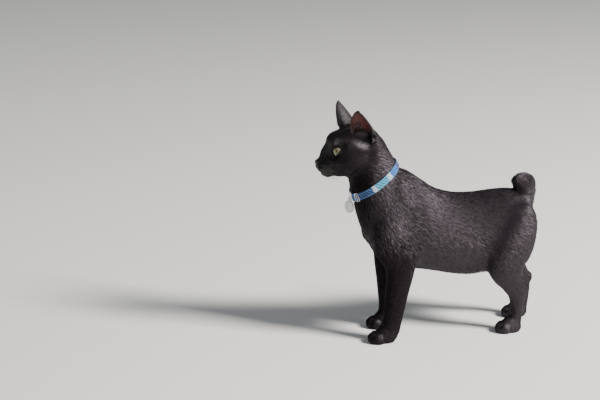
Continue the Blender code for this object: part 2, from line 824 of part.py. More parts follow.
def collar_radii(surface):
    """The band's inner radius at its lower and upper edges for each side, eased to lie taut."""
    rows = []
    for height in (-COLLAR_WIDTH / 2, COLLAR_WIDTH / 2):
        row = [
            neck_radius(surface, math.tau * k / COLLAR_SIDES, height) + COLLAR_REST
            for k in range(COLLAR_SIDES)
        ]
        for _ in range(4):
            eased = [(row[k - 1] + row[k] + row[(k + 1) % COLLAR_SIDES]) / 3 for k in range(COLLAR_SIDES)]
            row = [max(old, new) for old, new in zip(row, eased)]
        rows.append(row)
    return rows


def make_collar(name, radii, collection):
    low, high = radii
    frame = collar_frame()
    bm = bmesh.new()
    rings = []
    for k in range(COLLAR_SIDES):
        a = math.tau * k / COLLAR_SIDES
        ring = []
        for radius, height in (
            (low[k], -COLLAR_WIDTH / 2),
            (low[k] + COLLAR_THICKNESS, -COLLAR_WIDTH / 2),
            (high[k] + COLLAR_THICKNESS, COLLAR_WIDTH / 2),
            (high[k], COLLAR_WIDTH / 2),
        ):
            spot = Vector((radius * math.cos(a), radius * math.sin(a), height))
            ring.append(bm.verts.new(frame @ spot))
        rings.append(ring)
    for k in range(COLLAR_SIDES):
        near, far = rings[k], rings[(k + 1) % COLLAR_SIDES]
        for i in range(4):
            j = (i + 1) % 4
            bm.faces.new((near[i], near[j], far[j], far[i]))
    bmesh.ops.recalc_face_normals(bm, faces=bm.faces)
    return object_from_bmesh(name, bm, collection)


def clip_frame(radii):
    """A point on the band's outer face: X outwards, Y round the band, Z up across it."""
    low, high = radii
    k = CLIP_TURN / math.tau * COLLAR_SIDES
    i, part = int(k), k - int(k)
    bottom = low[i] * (1 - part) + low[i + 1] * part + COLLAR_THICKNESS
    top = high[i] * (1 - part) + high[i + 1] * part + COLLAR_THICKNESS
    frame = collar_frame()
    spots = [
        frame @ Vector((radius * math.cos(CLIP_TURN), radius * math.sin(CLIP_TURN), height))
        for radius, height in ((bottom, -COLLAR_WIDTH / 2), (top, COLLAR_WIDTH / 2))
    ]
    up = (spots[1] - spots[0]).normalized()
    round_band = frame.to_3x3() @ Vector((-math.sin(CLIP_TURN), math.cos(CLIP_TURN), 0))
    outward = round_band.cross(up).normalized()
    turn = Matrix((outward, round_band, up)).transposed().to_4x4()
    return Matrix.Translation((spots[0] + spots[1]) / 2) @ turn


def torus(name, radius, wire, place, collection):
    """A ring about the local X axis."""
    bpy.ops.mesh.primitive_torus_add(
        major_segments=20, minor_segments=8, major_radius=radius, minor_radius=wire
    )
    ring = bpy.context.active_object
    mesh = ring.data
    bpy.data.objects.remove(ring)
    mesh.transform(place @ Matrix.Rotation(math.radians(90), 4, "Y"))
    made = bpy.data.objects.new(name, mesh)
    collection.objects.link(made)
    return made


def disc(name, radius, thickness, place, collection, sides=28):
    """A round plate whose faces look along the local Y axis."""
    bm = bmesh.new()
    turn = place @ Matrix.Rotation(math.radians(90), 4, "X")
    bmesh.ops.create_cone(
        bm,
        cap_ends=True,
        segments=sides,
        radius1=radius,
        radius2=radius,
        depth=thickness,
        matrix=turn,
    )
    return object_from_bmesh(name, bm, collection)


# Half the clip's height, as the band leans outwards and is a little wider than it is tall
CLIP_HALF = COLLAR_WIDTH / 2 + CLIP_WALL + 1.2 * MM
CLIP_FACE = GAP * 2 + CLIP_WALL
LUG_SPOT = Vector((CLIP_FACE + LUG_OUT, 0.0, -LUG_LOW))


def hang_frame(radii, turn):
    """The middle of the lug's hole: Z straight up, X level and outwards, turned about the upright."""
    frame = clip_frame(radii)
    outward = frame.to_3x3().col[0]
    heading = math.atan2(outward.y, outward.x)
    return Matrix.Translation(frame @ LUG_SPOT) @ Matrix.Rotation(heading + turn, 4, "Z")


def make_clip(name, radii, collar, collection, helpers):
    """A metal clip folded over the band's edges, with a lug on its face for the ring."""
    frame = clip_frame(radii)
    long, tall = CLIP_LENGTH / 2 / MM, CLIP_HALF / MM
    deep, front = (-COLLAR_THICKNESS + GAP) / MM, CLIP_FACE / MM
    plate = box_cutter(name + "_plate", (deep, -long, -tall), (front, long, tall), helpers, frame)
    lug_place = frame @ Matrix.Translation(LUG_SPOT)
    lug = helper(disc(name + "_lug", LUG_RADIUS, LUG_THICKNESS, lug_place, helpers, 20))
    hole = helper(disc(name + "_hole", LUG_HOLE, CLIP_LENGTH * 2, lug_place, helpers, 16))
    add_boolean(plate, lug, "UNION")
    add_boolean(plate, hole, "DIFFERENCE")
    add_boolean(plate, inflated(collar, name + "_room", GAP * 1.6, helpers), "DIFFERENCE")
    return keep_largest(applied(plate, name, helpers), name, collection)


def make_ring(name, radii, collection):
    place = hang_frame(radii, RING_TURN) @ Matrix.Translation((0, 0, -RING_RADIUS))
    return torus(name, RING_RADIUS, RING_WIRE, place, collection)


def make_tag(name, radii, collection, helpers):
    """A plain round tag hanging from the ring by a hole near its rim."""
    hang = hang_frame(radii, TAG_TURN) @ Matrix.Translation((0, 0, -2 * RING_RADIUS))
    middle = hang @ Matrix.Translation((0, 0, -(TAG_RADIUS - TAG_HOLE - TAG_RIM)))
    tag = disc(name, TAG_RADIUS, TAG_THICKNESS, middle, collection)
    hole = helper(disc(name + "_hole", TAG_HOLE, TAG_THICKNESS * 4, hang, helpers, 16))
    add_boolean(tag, hole, "DIFFERENCE")
    return applied(tag, name, collection)


# Colour, roughness and metal by the start of a node's name
LOOKS = {
    "head": ((0.016, 0.013, 0.014), 0.55, 0.0),
    "neck": ((0.014, 0.012, 0.012), 0.55, 0.0),
    "torso": ((0.020, 0.018, 0.018), 0.50, 0.0),
    "tail": ((0.022, 0.019, 0.019), 0.55, 0.0),
    "foreleg": ((0.015, 0.013, 0.013), 0.55, 0.0),
    "hindleg": ((0.017, 0.015, 0.015), 0.55, 0.0),
    "ear": ((0.060, 0.030, 0.030), 0.60, 0.0),
    "eye": ((0.750, 0.720, 0.480), 0.08, 0.0),
    "collar_clip": ((0.750, 0.750, 0.760), 0.25, 1.0),
    "collar_ring": ((0.750, 0.750, 0.760), 0.20, 1.0),
    "collar": ((0.060, 0.330, 0.600), 0.70, 0.0),
    "tag": ((0.820, 0.820, 0.830), 0.25, 1.0),
}


def give_material(node):
    color, roughness, metallic = next(look for start, look in LOOKS.items() if node.name.startswith(start))
    node.data.materials.clear()
    node.data.materials.append(material(node.name, color, roughness, metallic))
    for face in node.data.polygons:
        face.material_index = 0


# The nodes


def surface_of(obj):
    bm = bmesh.new()
    bm.from_mesh(obj.data)
    surface = BVHTree.FromBMesh(bm)
    bm.free()
    return surface


def cut_head(clay, collection, helpers):
    """The head, with its sockets, lids, mouth and nostrils, and the surface it had before them."""
    rough = evaluated_copy(clay, "head_clay", helpers)
    add_boolean(rough, half_space("head_side", HEAD_CUT, True, helpers), "INTERSECT")
    rough = helper(applied(rough, "head_clay", helpers))
    surface = surface_of(rough)
    head = evaluated_copy(rough, "head_cut", helpers)
    for name, side in SIDES.items():
        add_boolean(head, socket_cutter("socket_" + name, side, helpers), "DIFFERENCE")
        add_boolean(head, lid_cutter("lids_" + name, side, helpers), "DIFFERENCE")
        add_boolean(head, mouth_cutter("mouth_" + name, side, surface, helpers), "DIFFERENCE")
        add_boolean(head, nostril_cutter("nostril_" + name, side, helpers), "DIFFERENCE")
    head = applied(head, "head_cut", helpers)
    return keep_largest(head, "head", collection), rough


def cut_neck(clay, collection, helpers):
    neck = evaluated_copy(clay, "neck_clay", helpers)
    add_boolean(neck, half_space("behind_head", HEAD_CUT, False, helpers), "INTERSECT")
    add_boolean(neck, half_space("neck_side", NECK_CUT, True, helpers), "INTERSECT")
    return keep_largest(applied(neck, "neck_cut", helpers), "neck", collection)


def cut_body(clay, collection, helpers):
    """The trunk and the legs, standing on flat soles, by name."""
    body = evaluated_copy(clay, "body_clay", helpers)
    add_boolean(body, half_space("torso_side", NECK_CUT, False, helpers), "INTERSECT")
    above_floor = box_cutter("above_floor", (-REACH, -REACH, 0), (REACH, REACH, REACH), helpers)
    add_boolean(body, above_floor, "INTERSECT")
    for name in LEG_SHEETS:
        add_boolean(body, leg_sheet(name, helpers), "DIFFERENCE")
    body = applied(body, "body_cut", helpers)
    pieces = loose_parts(body, collection)
    bpy.data.objects.remove(body)
    made = {"torso": pieces[0]}
    for piece in pieces[1:]:
        middle = sum((v.co for v in piece.data.vertices), Vector()) / len(piece.data.vertices)
        name = ("foreleg" if middle.x < 0 else "hindleg") + ("_left" if middle.y < 0 else "_right")
        if name in made:
            bpy.data.objects.remove(piece)
        else:
            made[name] = piece
    for name, piece in made.items():
        piece.name = name
    return made


def cut_tail(torso, collection, helpers):
    bm = bmesh.new()
    add_tail(bm)
    tail = fused(object_from_bmesh("tail_lumps", bm, helpers), "tail_clay", TAIL_SMOOTHING, helpers)
    tail = thinned(tail, "tail_thin", TAIL_TRIANGLES, helpers)
    add_boolean(tail, inflated(torso, "rump_room", GAP * 1.2, helpers), "DIFFERENCE")
    return keep_largest(applied(tail, "tail_cut", helpers), "tail", collection)


def cut_ear(name, side, rough_head, collection, helpers):
    ear = make_ear(name, side, helpers)
    add_boolean(ear, inflated(rough_head, name + "_scalp", GAP * 1.2, helpers), "DIFFERENCE")
    return above_scalp(applied(ear, name + "_cut", helpers), name, collection)


def recentre(nodes):
    """Moves everything so that the middle of the bounding box's base is the origin."""
    spots = [vertex.co for node in nodes for vertex in node.data.vertices]
    middle = [(min(spot[i] for spot in spots) + max(spot[i] for spot in spots)) / 2 for i in range(2)]
    shift = Matrix.Translation((-middle[0], -middle[1], 0.0))
    for node in nodes:
        node.data.transform(shift)


def main():
    clear_scene()
    cat = new_collection("bobtail_cat")
    helpers = new_collection("cutters_and_clay", hidden=True)
    clay = helper(make_clay(helpers))
    fine = thinned(clay, "fine_clay", FINE_TRIANGLES, helpers)
    coarse = thinned(clay, "coarse_clay", COARSE_TRIANGLES, helpers)

    head, rough_head = cut_head(fine, cat, helpers)
    neck = cut_neck(coarse, cat, helpers)
    body = cut_body(coarse, cat, helpers)
    tail = cut_tail(body["torso"], cat, helpers)
    nodes = [head, neck, *body.values(), tail]
    for name, side in SIDES.items():
        nodes.append(cut_ear("ear_" + name, side, rough_head, cat, helpers))
        nodes.append(make_eye("eye_" + name, side, cat))

    radii = collar_radii(surface_of(clay))
    collar = make_collar("collar", radii, cat)
    clip = make_clip("collar_clip", radii, collar, cat, helpers)
    ring = make_ring("collar_ring", radii, cat)
    tag = make_tag("tag", radii, cat, helpers)
    nodes += [collar, clip, ring, tag]

    recentre(nodes)
    for node in nodes:
        give_material(node)
    for obj in list(helpers.objects):
        bpy.data.objects.remove(obj)


main()
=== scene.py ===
"""The looks of a standing Japanese bobtail cat: its skin, short black coat, eyes, whiskers and collar."""

import json
import math

import bmesh
import bpy
import numpy as np
from mathutils import Matrix, Vector
from mathutils.bvhtree import BVHTree

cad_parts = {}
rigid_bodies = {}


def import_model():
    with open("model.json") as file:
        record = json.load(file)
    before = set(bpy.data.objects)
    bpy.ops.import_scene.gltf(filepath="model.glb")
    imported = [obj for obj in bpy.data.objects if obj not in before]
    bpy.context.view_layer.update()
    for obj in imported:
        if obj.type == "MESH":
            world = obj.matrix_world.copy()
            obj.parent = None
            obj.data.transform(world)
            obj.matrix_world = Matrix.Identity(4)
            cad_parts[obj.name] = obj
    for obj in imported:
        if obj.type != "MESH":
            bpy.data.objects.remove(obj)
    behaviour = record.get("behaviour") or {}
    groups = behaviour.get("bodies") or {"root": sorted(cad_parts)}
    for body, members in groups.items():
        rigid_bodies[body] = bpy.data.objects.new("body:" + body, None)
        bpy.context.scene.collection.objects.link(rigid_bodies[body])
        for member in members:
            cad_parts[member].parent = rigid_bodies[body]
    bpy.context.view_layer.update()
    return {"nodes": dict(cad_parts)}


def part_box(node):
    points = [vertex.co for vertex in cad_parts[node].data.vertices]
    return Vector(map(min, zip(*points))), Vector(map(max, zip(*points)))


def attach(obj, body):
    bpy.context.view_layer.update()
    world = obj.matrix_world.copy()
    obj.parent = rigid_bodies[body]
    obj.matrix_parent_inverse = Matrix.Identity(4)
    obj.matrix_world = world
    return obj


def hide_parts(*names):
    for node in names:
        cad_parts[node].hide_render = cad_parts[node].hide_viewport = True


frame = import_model()

MM = 0.001

# Sides by name: the left is 1
SIDES = {"left": 1, "right": -1}

# The tip of the nose and the turn of the head to the cat's right, as in the solids
NOSE_TIP = Vector((-162.1, 10.5, 242.0)) * MM
HEAD_TURN = math.radians(5.0)
HEAD_PLACE = Matrix.Translation(NOSE_TIP) @ Matrix.Rotation(-HEAD_TURN, 4, "Z")

# Eyes, as in the solids: millimetres behind the nose, out and up, and where they look
EYE_RADIUS = 10.2 * MM
EYE_BACK, EYE_OUT, EYE_UP = 33.6, 15.0, 18.2
EYE_GAZE_OUT = math.radians(24.0)
EYE_GAZE_UP = math.radians(6.0)
EYE_SLANT = math.radians(16.0)
CORNEA_RISE = 0.7 * MM

# Ears, as in the solids, in millimetres: the cup of an ear, and the pose of each one. The pose is the
# root's place behind, left of and above the nose, how far the cup faces outward from ahead, and how
# far the tip leans outward and forward, in degrees.
EAR_HEIGHT, EAR_CUP, EAR_TIP_SHIFT = 38.0, 14.0, 9.0
EAR_POSE = {
    "left": (60.0, 25.5, 37.0, 66.0, 20.0, 2.0),
    "right": (46.0, -24.5, 39.0, 44.0, 18.0, 7.0),
}

# Collar, as in the solids
COLLAR_TOP = Vector((-53.584, 2.002, 238.5)) * MM
COLLAR_FRONT = Vector((-111.884, 2.002, 196.5)) * MM
COLLAR_WIDTH = 10.0 * MM

FLESH = ("head", "neck", "torso", "tail", "foreleg_left", "foreleg_right", "hindleg_left", "hindleg_right")
EARS = ("ear_left", "ear_right")
EYES = ("eye_left", "eye_right")

# Fur that fills the foot of the tail, where it meets the rump, and the hollow of its curl: the middle
# and the radius of each ball, in millimetres
TAIL_FILL = ((138.0, 1.0, 177.0, 9.5), (134.5, 1.0, 184.5, 11.0), (130.5, -2.0, 198.5, 13.0))

# The clay is fused at this voxel, after its pieces have been pushed out to meet
VOXEL = 1.0 * MM
MEET = 0.35 * MM
SKIN_TRIANGLES = 150000
WELD = 1e-6

# How far the facets are eased: rounds, and the share of each step in and back out
EASE_ROUNDS, EASE_IN, EASE_OUT = 100, 0.55, 0.565

# How the hollows are filled: rounds with fresh normals, steps in each, and the share of each step
FILL_ROUNDS, FILL_STEPS, FILL_RATE = 10, 20, 0.7

rng = np.random.default_rng(7)


def deselect():
    for obj in bpy.context.view_layer.objects:
        obj.select_set(False)


def new_object(name, mesh):
    obj = bpy.data.objects.new(name, mesh)
    bpy.context.scene.collection.objects.link(obj)
    return obj


def activate(obj):
    """Makes an object the active one, and the only one selected."""
    deselect()
    obj.select_set(True)
    bpy.context.view_layer.objects.active = obj


def primitive(add, name, **settings):
    """A new primitive at the origin, from the operator that adds it."""
    deselect()
    add(location=(0, 0, 0), **settings)
    obj = bpy.context.active_object
    obj.name = obj.data.name = name
    return obj


def object_from(bm, name):
    """A new object with the mesh that was built, which is then freed."""
    mesh = bpy.data.meshes.new(name)
    bm.to_mesh(mesh)
    bm.free()
    return new_object(name, mesh)


def apply_modifiers(obj):
    activate(obj)
    for modifier in list(obj.modifiers):
        bpy.ops.object.modifier_apply(modifier=modifier.name)


def round_edges(obj, width, segments, angle):
    """Adds a bevel to the edges that turn by more than an angle in degrees."""
    soft = obj.modifiers.new("edges", "BEVEL")
    soft.width = width
    soft.segments = segments
    soft.limit_method = "ANGLE"
    soft.angle_limit = math.radians(angle)


def even_shading(obj, angle):
    """Smooth shading below an angle, with the flat faces kept flat."""
    activate(obj)
    bpy.ops.object.shade_smooth_by_angle(angle=math.radians(angle))
    weighted = obj.modifiers.new("weighted", "WEIGHTED_NORMAL")
    weighted.keep_sharp = True
    apply_modifiers(obj)


def cover(obj, finish):
    """Gives an object one material."""
    obj.data.materials.clear()
    obj.data.materials.append(finish)


def placed(spot, x, y, z):
    """A frame at a spot with its three axes, as a matrix."""
    return Matrix.Translation(spot) @ Matrix((x, y, z)).transposed().to_4x4()


def head_point(back, left, up):
    """A point of the head, in millimetres behind, left of and above the tip of the nose."""
    return HEAD_PLACE @ (Vector((back, -left, up)) * MM)


def head_direction(back, left, up):
    return (HEAD_PLACE.to_3x3() @ Vector((back, -left, up))).normalized()


def eye_frame(side):
    """An eye's middle as a matrix: X out along the gaze, Z up across the lids."""
    gaze = head_direction(
        -math.cos(EYE_GAZE_OUT) * math.cos(EYE_GAZE_UP),
        side * math.sin(EYE_GAZE_OUT) * math.cos(EYE_GAZE_UP),
        math.sin(EYE_GAZE_UP),
    )
    level = Vector((0, 0, 1)).cross(gaze).normalized()
    spot = head_point(EYE_BACK, side * EYE_OUT, EYE_UP)
    return placed(spot, gaze, level, gaze.cross(level)) @ Matrix.Rotation(side * EYE_SLANT, 4, "X")


def ear_frame(name, side):
    """An ear's root as a matrix: X out of its cup, Y across it to its rear edge, Z up to its tip."""
    back, left, up, facing, lean_out, lean_ahead = EAR_POSE[name]
    facing, out, ahead = math.radians(facing), math.radians(lean_out), math.radians(lean_ahead)
    face = head_direction(-math.cos(facing), side * math.sin(facing), 0.0)
    axis = head_direction(-math.tan(ahead), side * math.tan(out), 1.0)
    face = (face - axis * face.dot(axis)).normalized()
    across = head_direction(math.sin(facing), side * math.cos(facing), 0.0)
    across = (across - axis * across.dot(axis) - face * across.dot(face)).normalized()
    return placed(head_point(back, left, up), face, across, axis)


def collar_frame():
    """The collar's middle as a matrix: X towards its front, Y to the cat's left, Z up across the band."""
    ahead = (COLLAR_FRONT - COLLAR_TOP).normalized()
    left = Vector((0, -1, 0))
    return placed((COLLAR_TOP + COLLAR_FRONT) / 2, ahead, left, ahead.cross(left))


def in_frame(matrix, points):
    """Points in the frame that a matrix gives, as an array."""
    inverse = np.array(matrix.inverted())
    return points @ inverse[:3, :3].T + inverse[:3, 3]


def on_head(points):
    """Points in millimetres behind, right of and above the tip of the nose."""
    return in_frame(HEAD_PLACE, points) / MM


def step(value, low, high):
    """A smooth step from 0 at low to 1 at high."""
    t = np.clip((value - low) / (high - low), 0.0, 1.0)
    return t * t * (3 - 2 * t)


def bell(distance, width):
    return np.exp(-((distance / width) ** 2))


def blend(values, other, weight):
    """Values moved towards others by a weight at each point."""
    weight = weight if values.ndim == 1 else weight[:, None]
    return values * (1 - weight) + other * weight


# Arrays of a mesh


def read(items, attribute, width, kind=np.float32):
    """An attribute of all the items, with a row for each."""
    found = np.empty(len(items) * width, kind)
    items.foreach_get(attribute, found)
    return found.reshape(-1, width)


def positions(mesh):
    return read(mesh.vertices, "co", 3).astype(float)


def set_positions(mesh, co):
    mesh.vertices.foreach_set("co", co.astype(np.float32).ravel())
    mesh.update()


def normals(mesh):
    return read(mesh.vertex_normals, "vector", 3).astype(float)


def add_attribute(mesh, name, values):
    layer = mesh.attributes.new(name, "FLOAT", "POINT")
    layer.data.foreach_set("value", values.astype(np.float32))


def edge_pairs(mesh):
    return read(mesh.edges, "vertices", 2, np.int32)


class Neighbours:
    """Averages a value over each vertex's neighbours."""

    def __init__(self, mesh):
        pairs = edge_pairs(mesh)
        self.start = np.concatenate((pairs[:, 0], pairs[:, 1]))
        self.end = np.concatenate((pairs[:, 1], pairs[:, 0]))
        self.size = len(mesh.vertices)
        self.count = np.maximum(np.bincount(self.start, minlength=self.size), 1)

    def mean(self, values):
        columns = [
            np.bincount(self.start, weights=values[self.end, i], minlength=self.size)
            for i in range(values.shape[1])
        ]
        return np.stack(columns, 1) / self.count[:, None]


def unit(vectors):
    return vectors / np.maximum(np.linalg.norm(vectors, axis=1, keepdims=True), 1e-12)


# Regions of the body, as weights from 0 to 1 at each point

NECK_TOP = Vector((-0.0924, 0.002, 0.248))
NECK_AXIS = Vector((-0.62, 0.0, 0.78)).normalized()


def head_weight(points):
    """1 on the head, easing to 0 down the neck."""
    along = (points - np.array(NECK_TOP)) @ np.array(NECK_AXIS)
    return step(along, -0.012, 0.010)


def leg_weight(points):
    return 1 - step(points[:, 2], 0.070, 0.125)


def paw_weight(points):
    return 1 - step(points[:, 2], 0.016, 0.034)


def ear_weight(points):
    """1 on the ears: the top of the head near the height of each ear, on its own side."""
    found = np.zeros(len(points))
    local = in_frame(HEAD_PLACE, points)
    for name, side in SIDES.items():
        _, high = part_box("ear_" + name)
        above = step(points[:, 2], high.z - 0.042, high.z - 0.030)
        nearby = step(-local[:, 1] * side, 0.004, 0.009)
        found = np.maximum(found, above * nearby)
    return found * step(points[:, 2], 0.262, 0.275)


def tail_weight(points):
    low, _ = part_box("tail")
    inside = step(points[:, 2], 0.186, 0.196) * step(points[:, 0], low.x - 0.004, low.x + 0.004)
    return inside * (np.abs(points[:, 1]) < 0.024)


def shaded_front_weight(points):
    """1 on the breast, the throat and the forelegs, whose coat is given the least gloss as painted shade."""
    breast = step(-points[:, 0], 0.086, 0.106)
    forelegs = step(0.175 - points[:, 2], 0.0, 0.070) * step(-points[:, 0], 0.020, 0.055)
    return np.maximum(breast, forelegs)


def collar_weight(points):
    """1 under the collar, easing to 0 above and below it."""
    local = in_frame(collar_frame(), points) / MM
    inside = np.hypot(local[:, 0], local[:, 1]) < 50
    return bell(local[:, 2], 8.5) * inside


def ear_inside(points, out):
    """1 on the inside of an ear's cup, with how high up the ear and how far to its front edge."""
    inside, height, ahead = (np.zeros(len(points)) for _ in range(3))
    for name, side in SIDES.items():
        matrix = ear_frame(name, side)
        turn = np.array(matrix)[:3, :3]
        local = in_frame(matrix, points) / MM
        rise = np.clip(local[:, 2] / EAR_HEIGHT, 0, 1)
        cup = EAR_CUP * (1 - rise) ** 0.8 + 1.2
        middle = np.stack((-0.25 * cup, -EAR_TIP_SHIFT * rise**1.2, local[:, 2] + 4.0), 1)
        facing = np.sum(unit(middle - local) * (out @ turn), axis=1)
        reach = np.hypot(local[:, 0] - middle[:, 0], (local[:, 1] - middle[:, 1]) / 1.15)
        near = (reach < 15.5) & (local[:, 2] > -7) & (local[:, 2] < 39) & (local[:, 0] < 3.0)
        found = np.where(near, step(facing, 0.05, 0.40), 0.0)
        taken = found > inside
        height = np.where(taken, local[:, 2], height)
        ahead = np.where(taken, middle[:, 1] - local[:, 1], ahead)
        inside = np.maximum(inside, found)
    return inside, height, ahead


# Skin


def flesh_clay():
    """The flesh, ears and eyeballs of the solids fused into one closed surface."""
    bm = bmesh.new()
    for name in FLESH + EARS + EYES:
        bm.from_mesh(frame["nodes"][name].data)
    for x, y, z, radius in TAIL_FILL:
        place = Matrix.Translation(Vector((x, y, z)) * MM)
        bmesh.ops.create_icosphere(bm, subdivisions=4, radius=radius * MM, matrix=place)
    bmesh.ops.remove_doubles(bm, verts=bm.verts, dist=WELD)
    skin = object_from(bm, "skin")
    push = skin.modifiers.new("meet", "DISPLACE")
    push.strength = MEET
    push.mid_level = 0.0
    remesh = skin.modifiers.new("fuse", "REMESH")
    remesh.mode = "VOXEL"
    remesh.voxel_size = VOXEL
    apply_modifiers(skin)
    return skin


def soften(mesh):
    """Eases the facets of the solids, most on the trunk and least on the face, without shrinking it."""
    net = Neighbours(mesh)
    co = positions(mesh)
    head = head_weight(co)
    ears = ear_weight(co)
    local = on_head(co)
    face = head * (1 - step(local[:, 0], 20.0, 40.0))
    amount = 1 - 0.86 * head * (1 - ears) - 0.80 * ears - 0.62 * paw_weight(co)
    amount = (np.clip(amount, 0.1, 1.0) * (1 - 0.7 * face))[:, None]
    for _ in range(EASE_ROUNDS):
        co += (net.mean(co) - co) * EASE_IN * amount
        co -= (net.mean(co) - co) * EASE_OUT * amount
    set_positions(mesh, co)
    # The hollows between the muscles, and where the legs and tail leave the trunk, are filled out
    below_top = 0.205 - co[:, 2] + 0.35 * (-co[:, 0] > 0.04)
    trunk = (1 - head) * step(co[:, 2], 0.070, 0.100) * step(below_top, 0.0, 0.01)
    trunk = (trunk * FILL_RATE)[:, None]
    for _ in range(FILL_ROUNDS):
        out = normals(mesh)
        for _ in range(FILL_STEPS):
            rise = np.sum((net.mean(co) - co) * out, axis=1, keepdims=True)
            co += out * np.maximum(rise, 0.0) * trunk
        set_positions(mesh, co)


def coat_depth(points):
    """How far the skin lies below the coat's surface, in metres."""
    local = on_head(points)
    depth = 1.8 - 0.7 * leg_weight(points)
    for region, own_depth in (
        (paw_weight, 0.7),
        (head_weight, 0.35 + 1.1 * step(local[:, 0], 18.0, 55.0)),
        (ear_weight, 0.15),
        (tail_weight, 3.2),
        (collar_weight, 0.75),
    ):
        depth = blend(depth, own_depth, region(points))
    return (depth + MEET / MM) * step(points[:, 2], 0.0, 0.003) * MM


def thin_skin(skin):
    """Thins the mesh of the trunk and keeps the face, ears and paws fine."""
    co = positions(skin.data)
    keep = np.maximum.reduce((head_weight(co), ear_weight(co), 0.7 * paw_weight(co)))
    group = skin.vertex_groups.new(name="thin")
    weight = np.round(1 - 0.94 * keep, 2)
    for value in np.unique(weight):
        group.add(np.nonzero(weight == value)[0].tolist(), float(value), "REPLACE")
    faces = sum(len(face.vertices) - 2 for face in skin.data.polygons)
    decimate = skin.modifiers.new("thin", "DECIMATE")
    decimate.ratio = min(1.0, SKIN_TRIANGLES / faces)
    decimate.vertex_group = group.name
    apply_modifiers(skin)
    skin.vertex_groups.clear()


# Face: lids, nose and mouth, shaped on the skin

# An eye's opening in millimetres across the eyeball, outwards and up from the middle of the gaze
INNER_CORNER = (-9.6, -2.6)
OUTER_CORNER = (9.0, 1.6)
UPPER_LID, LOWER_LID = 3.7, 5.0
LID_EDGE = 0.75 * MM
LID_CLEAR = 0.06 * MM
# Inside the opening the skin first folds back under the lid and then lies deep in the globe
LID_FOLD, LID_TUCK = 1.15, 1.3
HIDDEN_RADIUS = 3.5 * MM
# The step in millimetres that the slope of the opening is measured over
PROBE = 0.05


def across_eye(side, points):
    """Places over the eyeball, outwards and up in millimetres, with their radius and frame in metres."""
    local = in_frame(eye_frame(side), points)
    radius = np.linalg.norm(local, axis=1)
    out = side * np.arctan2(local[:, 1], local[:, 0]) * EYE_RADIUS / MM
    up = np.arcsin(np.clip(local[:, 2] / np.maximum(radius, 1e-9), -1, 1)) * EYE_RADIUS / MM
    return out, up, radius, local


def from_opening(out, up):
    """How far a place on the eyeball lies outside the opening between the lids, in millimetres."""
    (x0, z0), (x1, z1) = INNER_CORNER, OUTER_CORNER
    along = (out - x0) / (x1 - x0)
    base = z0 + (z1 - z0) * along
    s = np.clip(2 * along - 1, -1, 1)
    arch = (1 - s * s) ** 0.85
    lean = 1 + 0.10 * s
    above = up - (base + UPPER_LID * arch * lean)
    below = (base - LOWER_LID * arch * (2 - lean)) - up
    inside = np.maximum(above, below)
    beyond = np.where(out < x0, np.hypot(out - x0, up - z0), np.hypot(out - x1, up - z1))
    return np.where((out < x0) | (out > x1), np.maximum(beyond, 0.05), inside)


def eye_surface(local, radius):
    """The eyeball's own radius in a direction, with its cornea."""
    ahead = local[:, 0] / np.maximum(radius, 1e-9)
    return EYE_RADIUS + CORNEA_RISE * np.clip((ahead - 0.6) / 0.4, 0, 1)


def lid_margin(side, points, low, high):
    """1 at the opening between the lids, easing to 0 between two distances from it in millimetres."""
    out, up, radius, local = across_eye(side, points)
    near = (radius < 0.017) & (local[:, 0] > 0)
    return np.where(near, 1 - step(from_opening(out, up), low, high), 0.0)


def shape_lids(co):
    for side in SIDES.values():
        matrix = eye_frame(side)
        turn = np.array(matrix)[:3, :3]
        middle = np.array(matrix.translation)
        out, up, radius, local = across_eye(side, co)
        near = (radius < 0.019) & (local[:, 0] > -0.001)
        away = from_opening(out, up)

        # The edge of the opening is drawn onto its own line
        slope_out = (from_opening(out + PROBE, up) - from_opening(out - PROBE, up)) / (2 * PROBE)
        slope_up = (from_opening(out, up + PROBE) - from_opening(out, up - PROBE)) / (2 * PROBE)
        length = np.maximum(np.hypot(slope_out, slope_up), 0.3)
        snap = np.where(near & (np.abs(away) < 0.30), -away, 0.0) / length**2
        fold = near & (away < -0.02) & (away > -LID_FOLD) & (snap == 0)
        snap = np.where(fold, (LID_TUCK - away) / length**2, snap)
        out2, up2 = out + slope_out * snap, up + slope_up * snap
        away = np.where((snap != 0) & ~fold, 0.0, away)

        ball = eye_surface(local, radius)
        edge = step(away, -0.02, 0.75)
        lid = ball + LID_CLEAR * 1.6 + LID_EDGE * edge
        crease = 0.45 * MM * bell(away - 3.2, 0.7) * step(up - 0.3 * out, 0.0, 3.0)
        crease = crease + 0.30 * MM * bell(away - 2.4, 0.6) * step(-up, 0.0, 3.0)
        fade = step(away, 0.9, 6.0)
        wanted = lid * (1 - fade) + np.maximum(radius, ball + 0.7 * MM) * fade - crease
        wanted = np.where(away < -0.02, HIDDEN_RADIUS, wanted)
        wanted = np.where(fold, ball + 0.5 * LID_CLEAR, wanted)
        easing = step(radius, 0.019, 0.0165)
        angle_out, angle_up = side * out2 * MM / EYE_RADIUS, up2 * MM / EYE_RADIUS
        direction = np.stack(
            (
                np.cos(angle_up) * np.cos(angle_out),
                np.cos(angle_up) * np.sin(angle_out),
                np.sin(angle_up),
            ),
            1,
        )
        target = middle + (direction * wanted[:, None]) @ turn.T
        moved = near[:, None] * easing[:, None]
        co = co * (1 - moved) + target * moved
    return co


# The line of the mouth, in millimetres behind, left of and above the tip of the nose
MOUTH_LINE = (
    (-0.5, 0.0, -3.6),
    (0.8, 0.0, -6.5),
    (2.0, 0.3, -9.0),
    (3.4, 3.5, -11.8),
    (7.0, 8.5, -13.4),
    (13.0, 13.0, -13.0),
    (20.0, 16.0, -11.2),
    (24.0, 17.2, -9.8),
)
NOSTRIL = ((0.2, 2.3, 0.4), (0.9, 3.2, 0.9), (2.6, 4.3, 0.5), (4.2, 4.9, -0.8))


